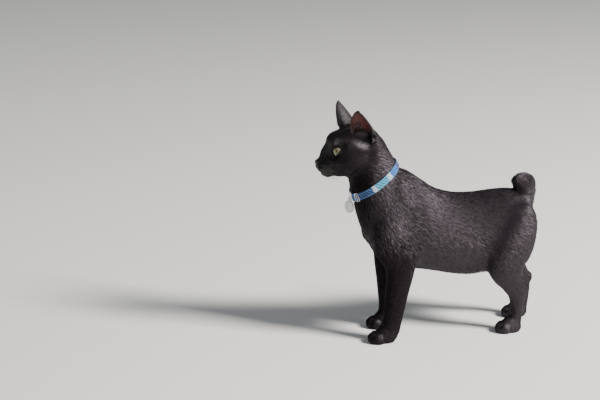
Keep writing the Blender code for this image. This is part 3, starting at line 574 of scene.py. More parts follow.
def polyline_distance(points, line):
    """How far each point is from a line through some corners, and where along it from 0 to 1."""
    best = np.full(len(points), 1e9)
    along = np.zeros(len(points))
    corners = np.array(line, float)
    for i in range(len(corners) - 1):
        a, b = corners[i], corners[i + 1]
        t = np.clip((points - a) @ (b - a) / ((b - a) @ (b - a)), 0, 1)
        gap = np.linalg.norm(points - (a + t[:, None] * (b - a)), axis=1)
        closer = gap < best
        best = np.where(closer, gap, best)
        along = np.where(closer, (i + t) / (len(corners) - 1), along)
    return best, along


def mirrored(local, side):
    """Points of the head as back, left and up, with the right side turned to the left."""
    return local * np.array([1.0, -1.0 * side, 1.0])


def nose_leather(local):
    """1 on the bare skin of the nose: broad above, narrowing down to the lip."""
    back, left, up = local[:, 0], np.abs(local[:, 1]), local[:, 2]
    half = 3.6 + 1.3 * step(up, -3.0, 0.5) - 2.6 * step(-up, 1.0, 4.6)
    across = 1 - step(left, half - 0.4, half + 0.4)
    tall = step(up, -4.8, -4.0) * (1 - step(up + 0.10 * left**1.5, 3.4, 4.4))
    return across * tall * (1 - step(back, 5.0, 6.5))


def shape_muzzle(co, out):
    """Carves the line of the mouth and the nostrils, and raises the leather of the nose."""
    local = on_head(co)
    carve = np.zeros(len(co))
    for side in SIDES.values():
        half = mirrored(local, side)
        gap, along = polyline_distance(half, MOUTH_LINE)
        deep = 2.2 * np.where(along < 0.28, 0.55, 1.0) * (1 - step(along, 0.85, 1.0))
        carve = np.maximum(carve, deep * bell(gap, 1.0))
        gap, along = polyline_distance(half, NOSTRIL)
        deep, wide = 2.0 - 1.3 * step(along, 0.3, 0.9), 0.95 - 0.35 * step(along, 0.2, 0.9)
        carve = np.maximum(carve, deep * bell(gap, wide))
    leather = nose_leather(local)
    return co + out * ((0.45 * leather - carve) * MM)[:, None]


def refine(skin, centres):
    """Splits the edges near some places: centre, reach and the longest edge that may stay, in metres."""
    bm = bmesh.new()
    bm.from_mesh(skin.data)
    for centre, reach, longest in centres:
        chosen = [
            edge
            for edge in bm.edges
            if (edge.verts[0].co - centre).length < reach and edge.calc_length() > longest
        ]
        bmesh.ops.subdivide_edges(bm, edges=chosen, cuts=1, use_grid_fill=True)
        bmesh.ops.triangulate(bm, faces=[face for face in bm.faces if len(face.verts) > 3])
    bm.to_mesh(skin.data)
    bm.free()


# The longest edges that stay round the eyes and muzzle, and closer in
FINE_EDGE, FINEST_EDGE = 0.7 * MM, 0.42 * MM


def make_skin():
    skin = flesh_clay()
    mesh = skin.data
    soften(mesh)
    co = positions(mesh)
    net = Neighbours(mesh)
    out = normals(mesh)
    for _ in range(6):
        out = unit(net.mean(out))
    co -= out * coat_depth(co)[:, None]
    co[:, 2] = np.maximum(co[:, 2], 0.0)
    set_positions(mesh, co)
    thin_skin(skin)

    places = []
    for side in SIDES.values():
        front = eye_frame(side) @ Vector((EYE_RADIUS, 0, 0))
        places += [(front, 0.0135, FINE_EDGE), (front, 0.0115, FINEST_EDGE)]
    places.append((head_point(6.0, 0.0, -5.0), 0.017, FINE_EDGE))
    places.append((head_point(1.5, 0.0, -2.0), 0.010, FINEST_EDGE))
    refine(skin, places)
    co = positions(mesh)
    net = Neighbours(mesh)
    out = normals(mesh)
    for _ in range(4):
        out = unit(net.mean(out))
    co = shape_muzzle(co, out)
    co = shape_lids(co)
    set_positions(mesh, co)
    mesh.shade_smooth()
    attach(skin, "root")
    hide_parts(*FLESH, *EARS)
    return skin


# Eyes

GLOBE_RADIUS = 10.0 * MM
IRIS_RADIUS = 7.7 * MM


def sphere_on_gaze(name, radius):
    """A sphere at the origin with its poles along X, so that its rings go round the gaze."""
    ball = primitive(
        bpy.ops.mesh.primitive_uv_sphere_add, name, segments=72, ring_count=60, radius=radius
    )
    ball.data.transform(Matrix.Rotation(math.radians(90), 4, "Y"))
    return ball


def make_eye(name, side, iris, cornea):
    """A globe with its iris sunk behind a clear cornea."""
    globe = sphere_on_gaze("globe_" + name, GLOBE_RADIUS)
    co = positions(globe.data)
    across = np.hypot(co[:, 1], co[:, 2])
    rim = math.sqrt(GLOBE_RADIUS**2 - IRIS_RADIUS**2)
    crown = rim + 0.5 * MM * (1 - (across / IRIS_RADIUS) ** 2)
    sunk = (co[:, 0] > 0) & (across < IRIS_RADIUS)
    co[:, 0] = np.where(sunk, np.minimum(co[:, 0], crown), co[:, 0])
    set_positions(globe.data, co)
    globe.data.transform(eye_frame(side))
    globe.data.shade_smooth()
    cover(globe, iris)
    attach(globe, "root")
    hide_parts("eye_" + name)

    clear = sphere_on_gaze("cornea_" + name, EYE_RADIUS)
    co = positions(clear.data)
    radius = np.linalg.norm(co, axis=1)
    set_positions(clear.data, co * (eye_surface(co, radius) / radius)[:, None])
    clear.data.transform(eye_frame(side))
    clear.data.shade_smooth()
    cover(clear, cornea)
    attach(clear, "root")


# Curves


def curve_data(name, thick, resolution, capped):
    """An empty curve that is drawn as a round wire."""
    data = bpy.data.curves.new(name, "CURVE")
    data.dimensions = "3D"
    data.bevel_depth = thick
    data.bevel_resolution = resolution
    data.use_fill_caps = capped
    return data


def add_spline(data, points):
    spline = data.splines.new("POLY")
    spline.points.add(len(points) - 1)
    for place, point in zip(spline.points, points):
        place.co = (*point, 1.0)
    return spline


def curve_mesh(name, data):
    """The curve as a smooth mesh."""
    activate(new_object(name, data))
    bpy.ops.object.convert(target="MESH")
    made = bpy.context.active_object
    made.data.shade_smooth()
    return made


def wire_loop(name, points, wire, cyclic):
    """A round wire through some points, as a mesh."""
    data = curve_data(name, wire, 3, not cyclic)
    add_spline(data, points).use_cyclic_u = cyclic
    return curve_mesh(name, data)


# Whiskers

# Roots on the left of the muzzle, behind, left of and above the nose, with where each whisker points
# as back, left and up, and its length, all in millimetres
WHISKERS = (
    (7.0, 10.0, -3.2, 0.20, 0.95, 0.25, 34.0),
    (9.5, 11.5, -3.0, 0.38, 0.88, 0.24, 43.0),
    (12.2, 12.6, -3.0, 0.55, 0.80, 0.20, 47.0),
    (7.4, 10.6, -5.4, 0.26, 0.95, 0.02, 38.0),
    (10.0, 12.2, -5.4, 0.44, 0.88, 0.02, 47.0),
    (12.8, 13.4, -5.4, 0.62, 0.78, -0.02, 50.0),
    (8.2, 10.8, -7.6, 0.30, 0.92, -0.20, 34.0),
    (10.8, 12.4, -7.8, 0.48, 0.84, -0.24, 41.0),
    (13.4, 13.6, -8.0, 0.64, 0.72, -0.26, 43.0),
    (9.0, 10.6, -9.4, 0.36, 0.84, -0.26, 22.0),
    (11.6, 12.0, -9.6, 0.52, 0.76, -0.26, 26.0),
    (29.0, 13.0, 27.5, 0.45, 0.35, 0.82, 24.0),
    (31.5, 14.0, 28.0, 0.60, 0.42, 0.72, 28.0),
    (34.0, 15.2, 28.2, 0.72, 0.48, 0.56, 22.0),
)
WHISKER_THICK, WHISKER_POINTS = 0.16 * MM, 12
WHISKER_SAG, BACK_STRAY, UP_STRAY = 0.16, 0.08, 0.06
# A whisker's share of its length, the least and how much more, so that the tips stay inside the size limit
WHISKER_SHORTEST, WHISKER_RANGE = 0.86, 0.10


def make_whiskers(skin, finish):
    """Each whisker is a tapering curve from its root on the skin, all joined as one mesh for each side."""
    tree = BVHTree.FromPolygons([v.co for v in skin.data.vertices], [f.vertices for f in skin.data.polygons])
    for name, side in SIDES.items():
        data = curve_data("whiskers_" + name, WHISKER_THICK, 1, True)
        for back, left, up, to_back, to_left, to_up, length in WHISKERS:
            root, _, _, _ = tree.find_nearest(head_point(back, side * left, up))
            back_stray, up_stray = rng.standard_normal(2)
            to_back *= 1 + BACK_STRAY * back_stray
            ahead = head_direction(to_back, side * to_left, to_up + UP_STRAY * up_stray)
            reach = length * (WHISKER_SHORTEST + WHISKER_RANGE * rng.random()) * MM
            sag = head_direction(0.9, 0.0, -0.45) * reach * WHISKER_SAG
            steps = [i / (WHISKER_POINTS - 1) for i in range(WHISKER_POINTS)]
            spline = add_spline(data, [root + ahead * reach * (t - 0.03) + sag * t * t for t in steps])
            for point, t in zip(spline.points, steps):
                point.radius = (1 - t) ** 0.7 + 0.12
        whiskers = curve_mesh("whiskers_" + name, data)
        cover(whiskers, finish)
        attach(whiskers, "root")


# Coat

# Which way the hair lies on the trunk, from the shoulders back to the rump
TRUNK_LIE = np.array((0.93, 0.0, -0.36))
CHEST_LIE = np.array((0.35, 0.0, -0.94))
NECK_LIE = np.array((0.58, 0.0, -0.81))
LEG_LIE = np.array((0.22, 0.0, -0.97))
PAW_LIE = np.array((-0.80, 0.0, -0.60))
TAIL_LIE = np.array((-0.15, 0.0, 0.75))
FLANK_SWEEP = np.array((0.0, 0.0, -0.45))
TAIL_HUB = np.array((0.1305, -0.002, 0.196))
FIELD_ROUNDS, TURN_ROUNDS = 24, 5


def lie_of_coat(co, out):
    """The direction that the hair lies in at each point of the skin, along the surface."""
    local = on_head(co)
    # Face and cheeks: away from the nose
    face = unit(co - np.array(head_point(-6.0, 0.0, 1.0)))
    neck = step(0.262 - co[:, 2], 0.0, 0.060) * step(-co[:, 0], 0.02, 0.06)
    chest = step(-co[:, 0], 0.070, 0.100) * step(0.215 - co[:, 2], 0.0, 0.05)
    lie = blend(np.tile(TRUNK_LIE, (len(co), 1)), NECK_LIE, neck)
    # Flanks sweep down towards the belly
    lie = lie + FLANK_SWEEP * step(0.175 - co[:, 2], 0.0, 0.07)[:, None]
    lie = blend(lie, CHEST_LIE, chest)
    lie = blend(lie, LEG_LIE, leg_weight(co))
    lie = blend(lie, PAW_LIE, paw_weight(co))
    lie = blend(lie, face, head_weight(co))
    ears = ear_weight(co)
    inside, _, _ = ear_inside(co, out)
    for name, side in SIDES.items():
        low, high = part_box("ear_" + name)
        share = 0.35 if side > 0 else 0.65
        tip = np.array(((low.x + high.x) / 2, high.y * share + low.y * (1 - share), high.z))
        own = local[:, 1] * -side > 0
        lie = blend(lie, unit(tip + np.array((0, 0, 0.012)) - co), ears * own)
        turn = np.array(ear_frame(name, side))[:3, :3]
        outward = turn[:, 2] * 0.8 + turn[:, 1] * 0.35 + turn[:, 0] * 0.30
        lie = np.where(((inside > 0.3) & own)[:, None], outward, lie)
    # Tail: round the curl and upward
    spin = co - TAIL_HUB
    curl = unit(np.stack((-spin[:, 2], np.zeros(len(co)), spin[:, 0]), 1))
    return flat(blend(lie, curl * 0.45 + TAIL_LIE, tail_weight(co)), out)


def flat(vectors, out):
    return unit(vectors - out * np.sum(vectors * out, axis=1, keepdims=True))


def smooth_field(net, lie, out):
    for _ in range(FIELD_ROUNDS):
        lie = flat(lie + net.mean(lie) * 2.0, out)
    return lie


# Coat of each region: hair length, half width and lift in millimetres, tufts to the square
# millimetre, and how pale it is from 0 to 1, which on the ears is partly a painted sheen
HAIR = {
    "trunk": (8.2, 0.21, 1.75, 0.40, 0.0),
    "belly": (12.5, 0.22, 5.2, 0.42, 0.0),
    "neck": (7.6, 0.20, 1.6, 0.44, 0.0),
    "leg": (6.4, 0.20, 1.1, 0.48, 0.0),
    "paw": (4.0, 0.17, 0.6, 1.00, 0.0),
    "cheek": (6.6, 0.20, 1.2, 0.65, 0.02),
    "face": (2.7, 0.12, 0.35, 1.60, 0.02),
    "ear": (3.6, 0.13, 0.4, 1.05, 0.12),
    "ear_inner": (2.6, 0.09, 0.6, 0.22, 0.25),
    "ear_front": (6.5, 0.10, 2.2, 0.26, 0.42),
    "tail": (9.0, 0.20, 3.2, 0.85, 0.0),
}
HAIRS_IN_TUFT = 6
TUFT_SPREAD = 0.85

# The thin coat of the temple, pale and with a painted sheen that is strongest near the eye, in millimetres
# behind, left of and above the nose
TEMPLE = ((27.0, 15.5, 28.8), (38.0, 19.0, 29.2), (47.0, 22.5, 28.4), (57.0, 27.5, 25.6), (63.0, 31.0, 24.0))
TEMPLE_PALE_AND_SHEEN, TEMPLE_FADE, TEMPLE_WIDTH = 1.25, 0.60, 3.8


def hair_values(co, out):
    """Length, half width, lift, density and paleness of the coat at each point, the paleness partly a painted
    sheen.
    """
    local = on_head(co)
    head = head_weight(co)
    back = step(local[:, 0], 14.0, 50.0)
    under = step(-out[:, 2], 0.40, 0.90) * step(co[:, 2], 0.064, 0.073)
    under = under * step(0.032 - np.abs(co[:, 1]), 0.0, 0.010)
    under = under * step(co[:, 0], -0.030, 0.050) * (1 - step(co[:, 0], 0.090, 0.105))
    inside, height, ahead = ear_inside(co, out)
    front = step(ahead, 2.0, 7.0) * (1 - step(height, 9.0, 17.0))
    front = inside * np.maximum(front, 1 - step(height, 0.0, 6.0))
    values = np.tile(HAIR["trunk"], (len(co), 1))
    for row, weight in (
        ("neck", step(-co[:, 0], 0.035, 0.075) * step(co[:, 2], 0.13, 0.18)),
        ("leg", leg_weight(co)),
        ("belly", under),
        ("paw", paw_weight(co)),
        ("face", head),
        ("cheek", head * back),
        ("ear", ear_weight(co)),
        ("ear_inner", inside),
        ("ear_front", front),
    ):
        values = blend(values, np.array(HAIR[row]), weight)
    for side in SIDES.values():
        half = mirrored(local, side)
        temple, along = polyline_distance(half, TEMPLE)
        # The temple is pale, with a painted sheen that is strongest near the eye and fades towards the ear
        pale_and_sheen = (TEMPLE_PALE_AND_SHEEN - TEMPLE_FADE * along) * bell(temple, TEMPLE_WIDTH)
        values[:, 4] = np.maximum(values[:, 4], pale_and_sheen * (1 - inside))
        values[:, 0] *= 1 - 0.35 * bell(temple, 5.0)
        mouth, _ = polyline_distance(half, MOUTH_LINE)
        values[:, 0] *= 1 - 0.55 * bell(mouth, 3.0)
    values[:, 2] *= 1 - 0.62 * collar_weight(co) ** 2
    return blend(values, np.array(HAIR["tail"]), tail_weight(co))


def bare_skin(co):
    """1 where no hair grows: the nose, the edges of the lids and under the paws."""
    local = on_head(co)
    bare = nose_leather(local)
    for side in SIDES.values():
        gap, along = polyline_distance(mirrored(local, side), MOUTH_LINE)
        bare = np.maximum(bare, bell(gap, 1.25) * (1 - step(along, 0.85, 1.0)))
        bare = np.maximum(bare, lid_margin(side, co, 0.5, 1.3))
    return np.maximum(bare, (co[:, 2] < 0.0012) * 1.0)


def grow_tufts(skin):
    """Roots of the tufts spread over the skin, with the values of the skin there."""
    mesh = skin.data
    co, out = positions(mesh), normals(mesh)
    net = Neighbours(mesh)
    lie = smooth_field(net, lie_of_coat(co, out), out)
    values = hair_values(co, out)
    turn = turn_along(mesh, co, out, lie, net)
    bare = bare_skin(co)
    mesh.calc_loop_triangles()
    corners = read(mesh.loop_triangles, "vertices", 3, np.int32)
    loops = read(mesh.loop_triangles, "loops", 3, np.int32)
    a, b, c = (co[corners[:, i]] for i in range(3))
    area = np.linalg.norm(np.cross(b - a, c - a), axis=1) / 2 / MM**2
    density = values[corners, 3].mean(axis=1) * (1 - bare[corners].max(axis=1))
    count = np.floor(area * density + rng.random(len(area))).astype(int)
    face = np.repeat(np.arange(len(count)), count)
    u, v = rng.random(len(face)), rng.random(len(face))
    flip = u + v > 1
    u, v = np.where(flip, 1 - u, u), np.where(flip, 1 - v, v)
    weights = np.stack((1 - u - v, u, v), 1)
    corner = corners[face]

    def at(array):
        return np.einsum("ij,ijk->ik", weights, array[corner])

    uv = read(mesh.uv_layers["OFBake"].data, "uv", 2)
    root_uv = np.einsum("ij,ijk->ik", weights, uv[loops[face]].astype(float))
    normal = unit(at(out))
    return {
        "root": at(co),
        "out": normal,
        "lie": flat(at(lie), normal),
        "values": at(values),
        "turn": at(turn[:, None])[:, 0],
        "uv": root_uv,
    }


def turn_along(mesh, co, out, lie, net):
    """How fast the surface turns away along the lie of its hair, in radians to the metre."""
    pairs = edge_pairs(mesh)
    run = co[pairs[:, 1]] - co[pairs[:, 0]]
    squared = np.maximum(np.sum(run * run, axis=1), 1e-12)
    turn = np.sum((out[pairs[:, 1]] - out[pairs[:, 0]]) * run, axis=1) / squared
    total, share = np.zeros(len(co)), np.full(len(co), 1e-6)
    for end in (0, 1):
        weight = np.sum(run * lie[pairs[:, end]], axis=1) ** 2 / squared
        total += np.bincount(pairs[:, end], weights=weight * turn, minlength=len(co))
        share += np.bincount(pairs[:, end], weights=weight, minlength=len(co))
    turn = (total / share)[:, None]
    for _ in range(TURN_ROUNDS):
        turn = net.mean(turn)
    return turn[:, 0]


# A hair is a tapering strip of three triangles, from its root through its middle to its tip
STRIP_FACES = np.array(((0, 1, 3), (0, 3, 2), (2, 3, 4)))
# The side of a hair's own patch on the unwrap
PATCH = 0.003
# How far hairs lean and roll at random, and how far they may bend, in radians
HAIR_LEAN, HAIR_ROLL, BEND_LIMITS = 0.05, 0.30, (-0.5, 1.3)
ROOT_DEPTH, FLOOR_GAP = 0.0003, 0.0004


def hair_point(root, ahead, out, run, bend, lift):
    """A place so far along a hair that bends by an angle on its way, and is lifted off the surface."""
    along = run * np.sinc(bend / math.pi)
    down = run * np.sinc(bend / math.tau) * np.sin(bend / 2)
    return root + ahead * along[:, None] + out * (lift - down)[:, None]


def hair_mesh(name, tufts, chosen):
    """The hairs of some tufts as one mesh, with their shade and their place on the unwrap."""
    picked = {key: np.repeat(value[chosen], HAIRS_IN_TUFT, axis=0) for key, value in tufts.items()}
    size = len(picked["root"])
    out, lie, values = picked["out"], picked["lie"], picked["values"]
    side = np.cross(out, lie)
    length = values[:, 0] * (0.75 + 0.5 * rng.random(size)) * MM
    width = values[:, 1] * (0.7 + 0.6 * rng.random(size)) * MM
    lift = values[:, 2] * (0.55 + 0.75 * rng.random(size)) * MM
    spread = TUFT_SPREAD * np.sqrt(1.0 / np.maximum(values[:, 3], 0.05)) * MM
    off_side = (rng.random(size) - 0.5) * spread * 1.3
    off_along = (rng.random(size) - 0.5) * spread * 2.2
    # Hairs of a tuft lean together towards its middle, and each tuft leans its own way
    tuft_turn = np.repeat(rng.normal(0.0, HAIR_LEAN, len(chosen)), HAIRS_IN_TUFT)
    turn = tuft_turn + rng.normal(0.0, HAIR_LEAN, size)
    root = picked["root"] + side * off_side[:, None] + lie * off_along[:, None] - out * ROOT_DEPTH
    ahead = lie * np.cos(turn)[:, None] + side * np.sin(turn)[:, None]
    across = side * np.cos(turn)[:, None] - lie * np.sin(turn)[:, None]
    roll = rng.normal(0.0, HAIR_ROLL, size)
    edge = across * np.cos(roll)[:, None] + out * np.sin(roll)[:, None]
    # A hair bends with the surface below it
    bend = np.clip(picked["turn"] * length, *BEND_LIMITS)
    middle = hair_point(root, ahead, out, length * 0.5, bend * 0.5, lift * 0.80)
    middle -= side * (off_side * 0.25)[:, None]
    tip = hair_point(root, ahead, out, length, bend, lift * 1.05)
    tip -= side * (off_side * 0.7)[:, None]
    half = edge * width[:, None]
    points = np.stack(
        (root - half * 0.8, root + half * 0.8, middle - half, middle + half, tip), axis=1
    ).reshape(-1, 3)
    points[:, 2] = np.maximum(points[:, 2], FLOOR_GAP)
    faces = (np.arange(size)[:, None, None] * 5 + STRIP_FACES).reshape(-1, 3)

    mesh = bpy.data.meshes.new(name)
    mesh.vertices.add(len(points))
    mesh.vertices.foreach_set("co", points.astype(np.float32).ravel())
    mesh.loops.add(faces.size)
    mesh.loops.foreach_set("vertex_index", faces.astype(np.int32).ravel())
    mesh.polygons.add(len(faces))
    mesh.polygons.foreach_set("loop_start", np.arange(0, faces.size, 3, dtype=np.int32))
    mesh.update(calc_edges=True)
    mesh.polygons.foreach_set("use_smooth", np.ones(len(faces), bool))

    tone = np.repeat(rng.random(len(chosen)), HAIRS_IN_TUFT) * 0.6 + rng.random(size) * 0.4
    add_attribute(mesh, "tone", np.repeat(tone, 5))
    add_attribute(mesh, "along", np.tile((0.0, 0.0, 0.5, 0.5, 1.0), size))
    # Paleness of each hair: pale hair, and a painted sheen on the temples and the backs of the ears
    add_attribute(mesh, "pale_and_sheen", np.repeat(values[:, 4] * (0.7 + 0.6 * rng.random(size)), 5))
    corner_uv = np.array(((-0.5, -0.5), (0.5, -0.5), (-0.5, 0.1), (0.5, 0.1), (0.0, 0.5))) * PATCH
    uv = (picked["uv"][:, None, :] + corner_uv[None]).reshape(-1, 2)
    layer = mesh.uv_layers.new(name="OFBake")
    layer.data.foreach_set("uv", uv[faces.ravel()].astype(np.float32).ravel())
    return new_object(name, mesh)


PIECE_TRIANGLES = 190000
# Gloss and roughness of the coat of each region. The coat is one black; its gloss is lowered on the head and
# front as painted shade and raised on the trunk as painted sheen
COAT_GLOSS_AS_SHADE = {"head": (0.16, 0.44), "front": (0.11, 0.48), "trunk": (0.54, 0.54)}


def make_coat(skin, finishes):
    tufts = grow_tufts(skin)
    root = tufts["root"]
    # Tufts of two regions mingle where the regions meet
    mingle = 0.5 + 0.9 * (rng.random(len(root)) - 0.5)
    # The head and front take the dull copies of the coat as painted shade, the trunk the glossy copy as
    # painted sheen
    region = np.where(head_weight(root) > mingle, 0, np.where(shaded_front_weight(root) > mingle, 1, 2))
    # Each region is cut into pieces of like size, by how far back the roots are
    most = PIECE_TRIANGLES // (HAIRS_IN_TUFT * len(STRIP_FACES))
    for code, title in enumerate(("head", "front", "trunk")):
        chosen = np.nonzero(region == code)[0]
        pieces = max(1, -(-len(chosen) // most))
        order = chosen[np.argsort(root[chosen, 0])]
        for index, part in enumerate(np.array_split(order, pieces)):
            piece = hair_mesh(f"coat_{title}_{index + 1}", tufts, part)
            cover(piece, finishes[title])
            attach(piece, "root")


def mark_skin(skin):
    """Keeps where the skin is leather and where it lines an ear, for its material."""
    mesh = skin.data
    co, out = positions(mesh), normals(mesh)
    inside, height, _ = ear_inside(co, out)
    local = on_head(co)
    leather = np.maximum(nose_leather(local), (co[:, 2] < 0.004) * 1.0)
    for side in SIDES.values():
        leather = np.maximum(leather, 0.8 * lid_margin(side, co, 0.8, 1.4))
    add_attribute(mesh, "leather", leather)
    add_attribute(mesh, "inner", inside * step(height, -3.0, 6.0))


def unwrap(skin):
    activate(skin)
    skin.data.uv_layers.new(name="OFBake")
    bpy.ops.object.mode_set(mode="EDIT")
    bpy.ops.mesh.select_all(action="SELECT")
    bpy.ops.uv.smart_project(angle_limit=math.radians(70), island_margin=0.002)
    bpy.ops.object.mode_set(mode="OBJECT")


# Collar, its slide, clip, ring and tag

BAND_WIDTH = 9.0 * MM
BAND_STEPS, BAND_ROWS = 336, 6
BAND_THICKNESS, BAND_REST = 1.35 * MM, 0.15 * MM
# The radius that carries the weave past the seam at the nape
SEAM_RADIUS = 0.04
STITCH_PITCH, STITCH_INSET = 2.3 * MM, 1.15 * MM
STITCH_LONG, STITCH_THICK = 0.82 * MM, 0.20 * MM
SLIDE_TURN, SLIDE_HALF, SLIDE_WIRE = math.radians(27.0), 3.6 * MM, 0.55 * MM
SLIDE_RISE, SLIDE_CORNER = 0.55 * MM, 1.3 * MM
TAG_RADIUS, TAG_THICKNESS, TAG_HOLE, TAG_HOLE_UP = 8.4 * MM, 1.2 * MM, 1.75 * MM, 5.35 * MM
RING_RADIUS, RING_WIRE, RING_TURNS = 3.0 * MM, 0.30 * MM, 1.92


class Band:
    """The path of the collar: the inner radius of the solid band at each angle and height."""

    def __init__(self):
        local = in_frame(collar_frame(), positions(frame["nodes"]["collar"].data))
        angle = np.arctan2(local[:, 1], local[:, 0])
        radius = np.hypot(local[:, 0], local[:, 1])
        self.angles = np.unique(np.round(angle, 3))
        self.rows = []
        for half in (local[:, 2] < 0, local[:, 2] > 0):
            inner = [radius[half & (np.abs(angle - a) < 0.02)].min() for a in self.angles]
            self.rows.append(np.array(inner))

    def radius(self, angle, height):
        angle = np.mod(np.asarray(angle) + np.pi, math.tau) - np.pi
        low, high = (np.interp(angle, self.angles, row, period=math.tau) for row in self.rows)
        part = np.asarray(height) / COLLAR_WIDTH + 0.5
        return low * (1 - part) + high * part

    def point(self, angle, height, above=0.0):
        """A place on the band, so far above its inner face, in the frame of the scene."""
        radius = float(self.radius(angle, height)) + above
        return collar_frame() @ Vector((radius * math.cos(angle), radius * math.sin(angle), height))

    def length(self, angle):
        """The length along the band from the nape, round the right side to the front and on, to an angle."""
        steps = np.linspace(-np.pi, np.pi, 721)
        radius = self.radius(steps, 0.0)
        run = np.concatenate(([0.0], np.cumsum((radius[1:] + radius[:-1]) / 2 * np.diff(steps))))
        return np.interp(angle, steps, run)


def make_band(path, finish):
    cylinder = bpy.ops.mesh.primitive_cylinder_add
    band = primitive(
        cylinder, "collar_band", vertices=BAND_STEPS, radius=1.0, depth=2.0, end_fill_type="NOTHING"
    )
    bm = bmesh.new()
    bm.from_mesh(band.data)
    upright = [edge for edge in bm.edges if abs(edge.verts[0].co.z - edge.verts[1].co.z) > 1]
    bmesh.ops.subdivide_edges(bm, edges=upright, cuts=BAND_ROWS - 1, use_grid_fill=True)
    layer = bm.loops.layers.uv.verify()
    for face in bm.faces:
        centre = face.calc_center_median()
        middle = math.atan2(centre.y, centre.x)
        for loop in face.loops:
            angle = math.atan2(loop.vert.co.y, loop.vert.co.x)
            angle += math.tau * round((middle - angle) / math.tau)
            beyond = max(abs(angle) - math.pi, 0.0)
            run = float(path.length(max(-math.pi, min(math.pi, angle))))
            run += math.copysign(beyond, angle) * SEAM_RADIUS
            loop[layer].uv = (run, loop.vert.co.z * BAND_WIDTH / 2)
    for vert in bm.verts:
        angle = math.atan2(vert.co.y, vert.co.x)
        height = vert.co.z * BAND_WIDTH / 2
        vert.co = path.point(angle, height, BAND_REST)
    bm.to_mesh(band.data)
    bm.free()
    band.data.uv_layers[0].name = "weave"
    wall = band.modifiers.new("thickness", "SOLIDIFY")
    wall.thickness = BAND_THICKNESS
    wall.offset = 1.0
    round_edges(band, 0.38 * MM, 3, 50)
    apply_modifiers(band)
    even_shading(band, 50)
    cover(band, finish)
    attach(band, "root")
    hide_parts("collar")


def make_stitches(path, finish):
    """Two rows of thread along the edges of the band, each stitch a copy of one small capsule."""
    sphere = bpy.ops.mesh.primitive_uv_sphere_add
    stitch = primitive(sphere, "stitch", segments=8, ring_count=6, radius=1.0)
    stitch.data.transform(Matrix.Rotation(math.radians(90), 4, "Y"))
    stitch.data.transform(Matrix.Diagonal((STITCH_LONG, STITCH_THICK, STITCH_THICK, 1.0)))
    bm = bmesh.new()
    count = int(float(path.length(math.pi)) / STITCH_PITCH)
    outside = BAND_REST + BAND_THICKNESS
    for i in range(count):
        angle = math.tau * i / count
        for row in (-1, 1):
            height = row * (BAND_WIDTH / 2 - STITCH_INSET)
            here = path.point(angle, height, outside)
            ahead = (path.point(angle + 0.02, height, outside) - here).normalized()
            up = collar_frame().to_3x3().col[2]
            copy = stitch.data.copy()
            copy.transform(placed(here, ahead, up.cross(ahead).normalized(), up))
            bm.from_mesh(copy)
            bpy.data.meshes.remove(copy)
    bpy.data.objects.remove(stitch)
    bmesh.ops.recalc_face_normals(bm, faces=bm.faces)
    stitches = object_from(bm, "collar_stitches")
    stitches.data.shade_smooth()
    cover(stitches, finish)
    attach(stitches, "root")


def make_slide(path, finish):
    """A wire slide over the band: a rounded frame with a middle bar."""
    outside = BAND_REST + BAND_THICKNESS + SLIDE_WIRE * 0.75
    radius = float(path.radius(SLIDE_TURN, 0.0))
    half_turn = SLIDE_HALF / radius
    tall = BAND_WIDTH / 2 + SLIDE_RISE
    frame_points = []
    for across, up, start in ((1, 1, 0), (-1, 1, 90), (-1, -1, 180), (1, -1, 270)):
        for turn in range(0, 91, 18):
            a = math.radians(start + turn)
            run = across * (SLIDE_HALF - SLIDE_CORNER) + SLIDE_CORNER * math.cos(a)
            height = up * (tall - SLIDE_CORNER) + SLIDE_CORNER * math.sin(a)
            # The sides run over the band, and the ends bend in over its edges
            over = outside - max(0.0, abs(height) - BAND_WIDTH / 2)
            frame_points.append(path.point(SLIDE_TURN + run / SLIDE_HALF * half_turn, height, over))
    slide = wire_loop("collar_slide", frame_points, SLIDE_WIRE, True)
    bar_points = [path.point(SLIDE_TURN, -tall + 2 * tall * i / 8, outside) for i in range(9)]
    bar = wire_loop("slide_bar", bar_points, SLIDE_WIRE * 0.9, False)
    deselect()
    for piece in (slide, bar):
        piece.select_set(True)
    bpy.context.view_layer.objects.active = slide
    bpy.ops.object.join()
    cover(slide, finish)
    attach(slide, "root")


def flat_place(name):
    """The middle of a flat round node as a matrix: X through it, Z up, from the node's own points."""
    co = positions(frame["nodes"][name].data)
    centre = co.mean(axis=0)
    _, _, rows = np.linalg.svd(co - centre, full_matrices=False)
    through = Vector(rows[2]).normalized()
    if through.x > 0:
        through = -through
    up = Vector((0, 0, 1))
    up = (up - through * up.dot(through)).normalized()
    place = placed(centre, through, up.cross(through), up)
    local = in_frame(place, co)
    return place @ Matrix.Translation(Vector((local.min(axis=0) + local.max(axis=0)) / 2))


def make_ring(finish):
    """A split ring: a wire of nearly two turns that lie side by side."""
    place = flat_place("collar_ring")
    steps = 96
    points = []
    for i in range(steps + 1):
        a = math.tau * RING_TURNS * i / steps + math.radians(40)
        # The wire crosses over in the middle of its run
        aside = RING_WIRE * (2 * float(step(i / steps, 0.44, 0.56)) - 1)
        points.append(place @ Vector((aside, RING_RADIUS * math.cos(a), RING_RADIUS * math.sin(a))))
    ring = wire_loop("split_ring", points, RING_WIRE, False)
    cover(ring, finish)
    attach(ring, "root")
    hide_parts("collar_ring")


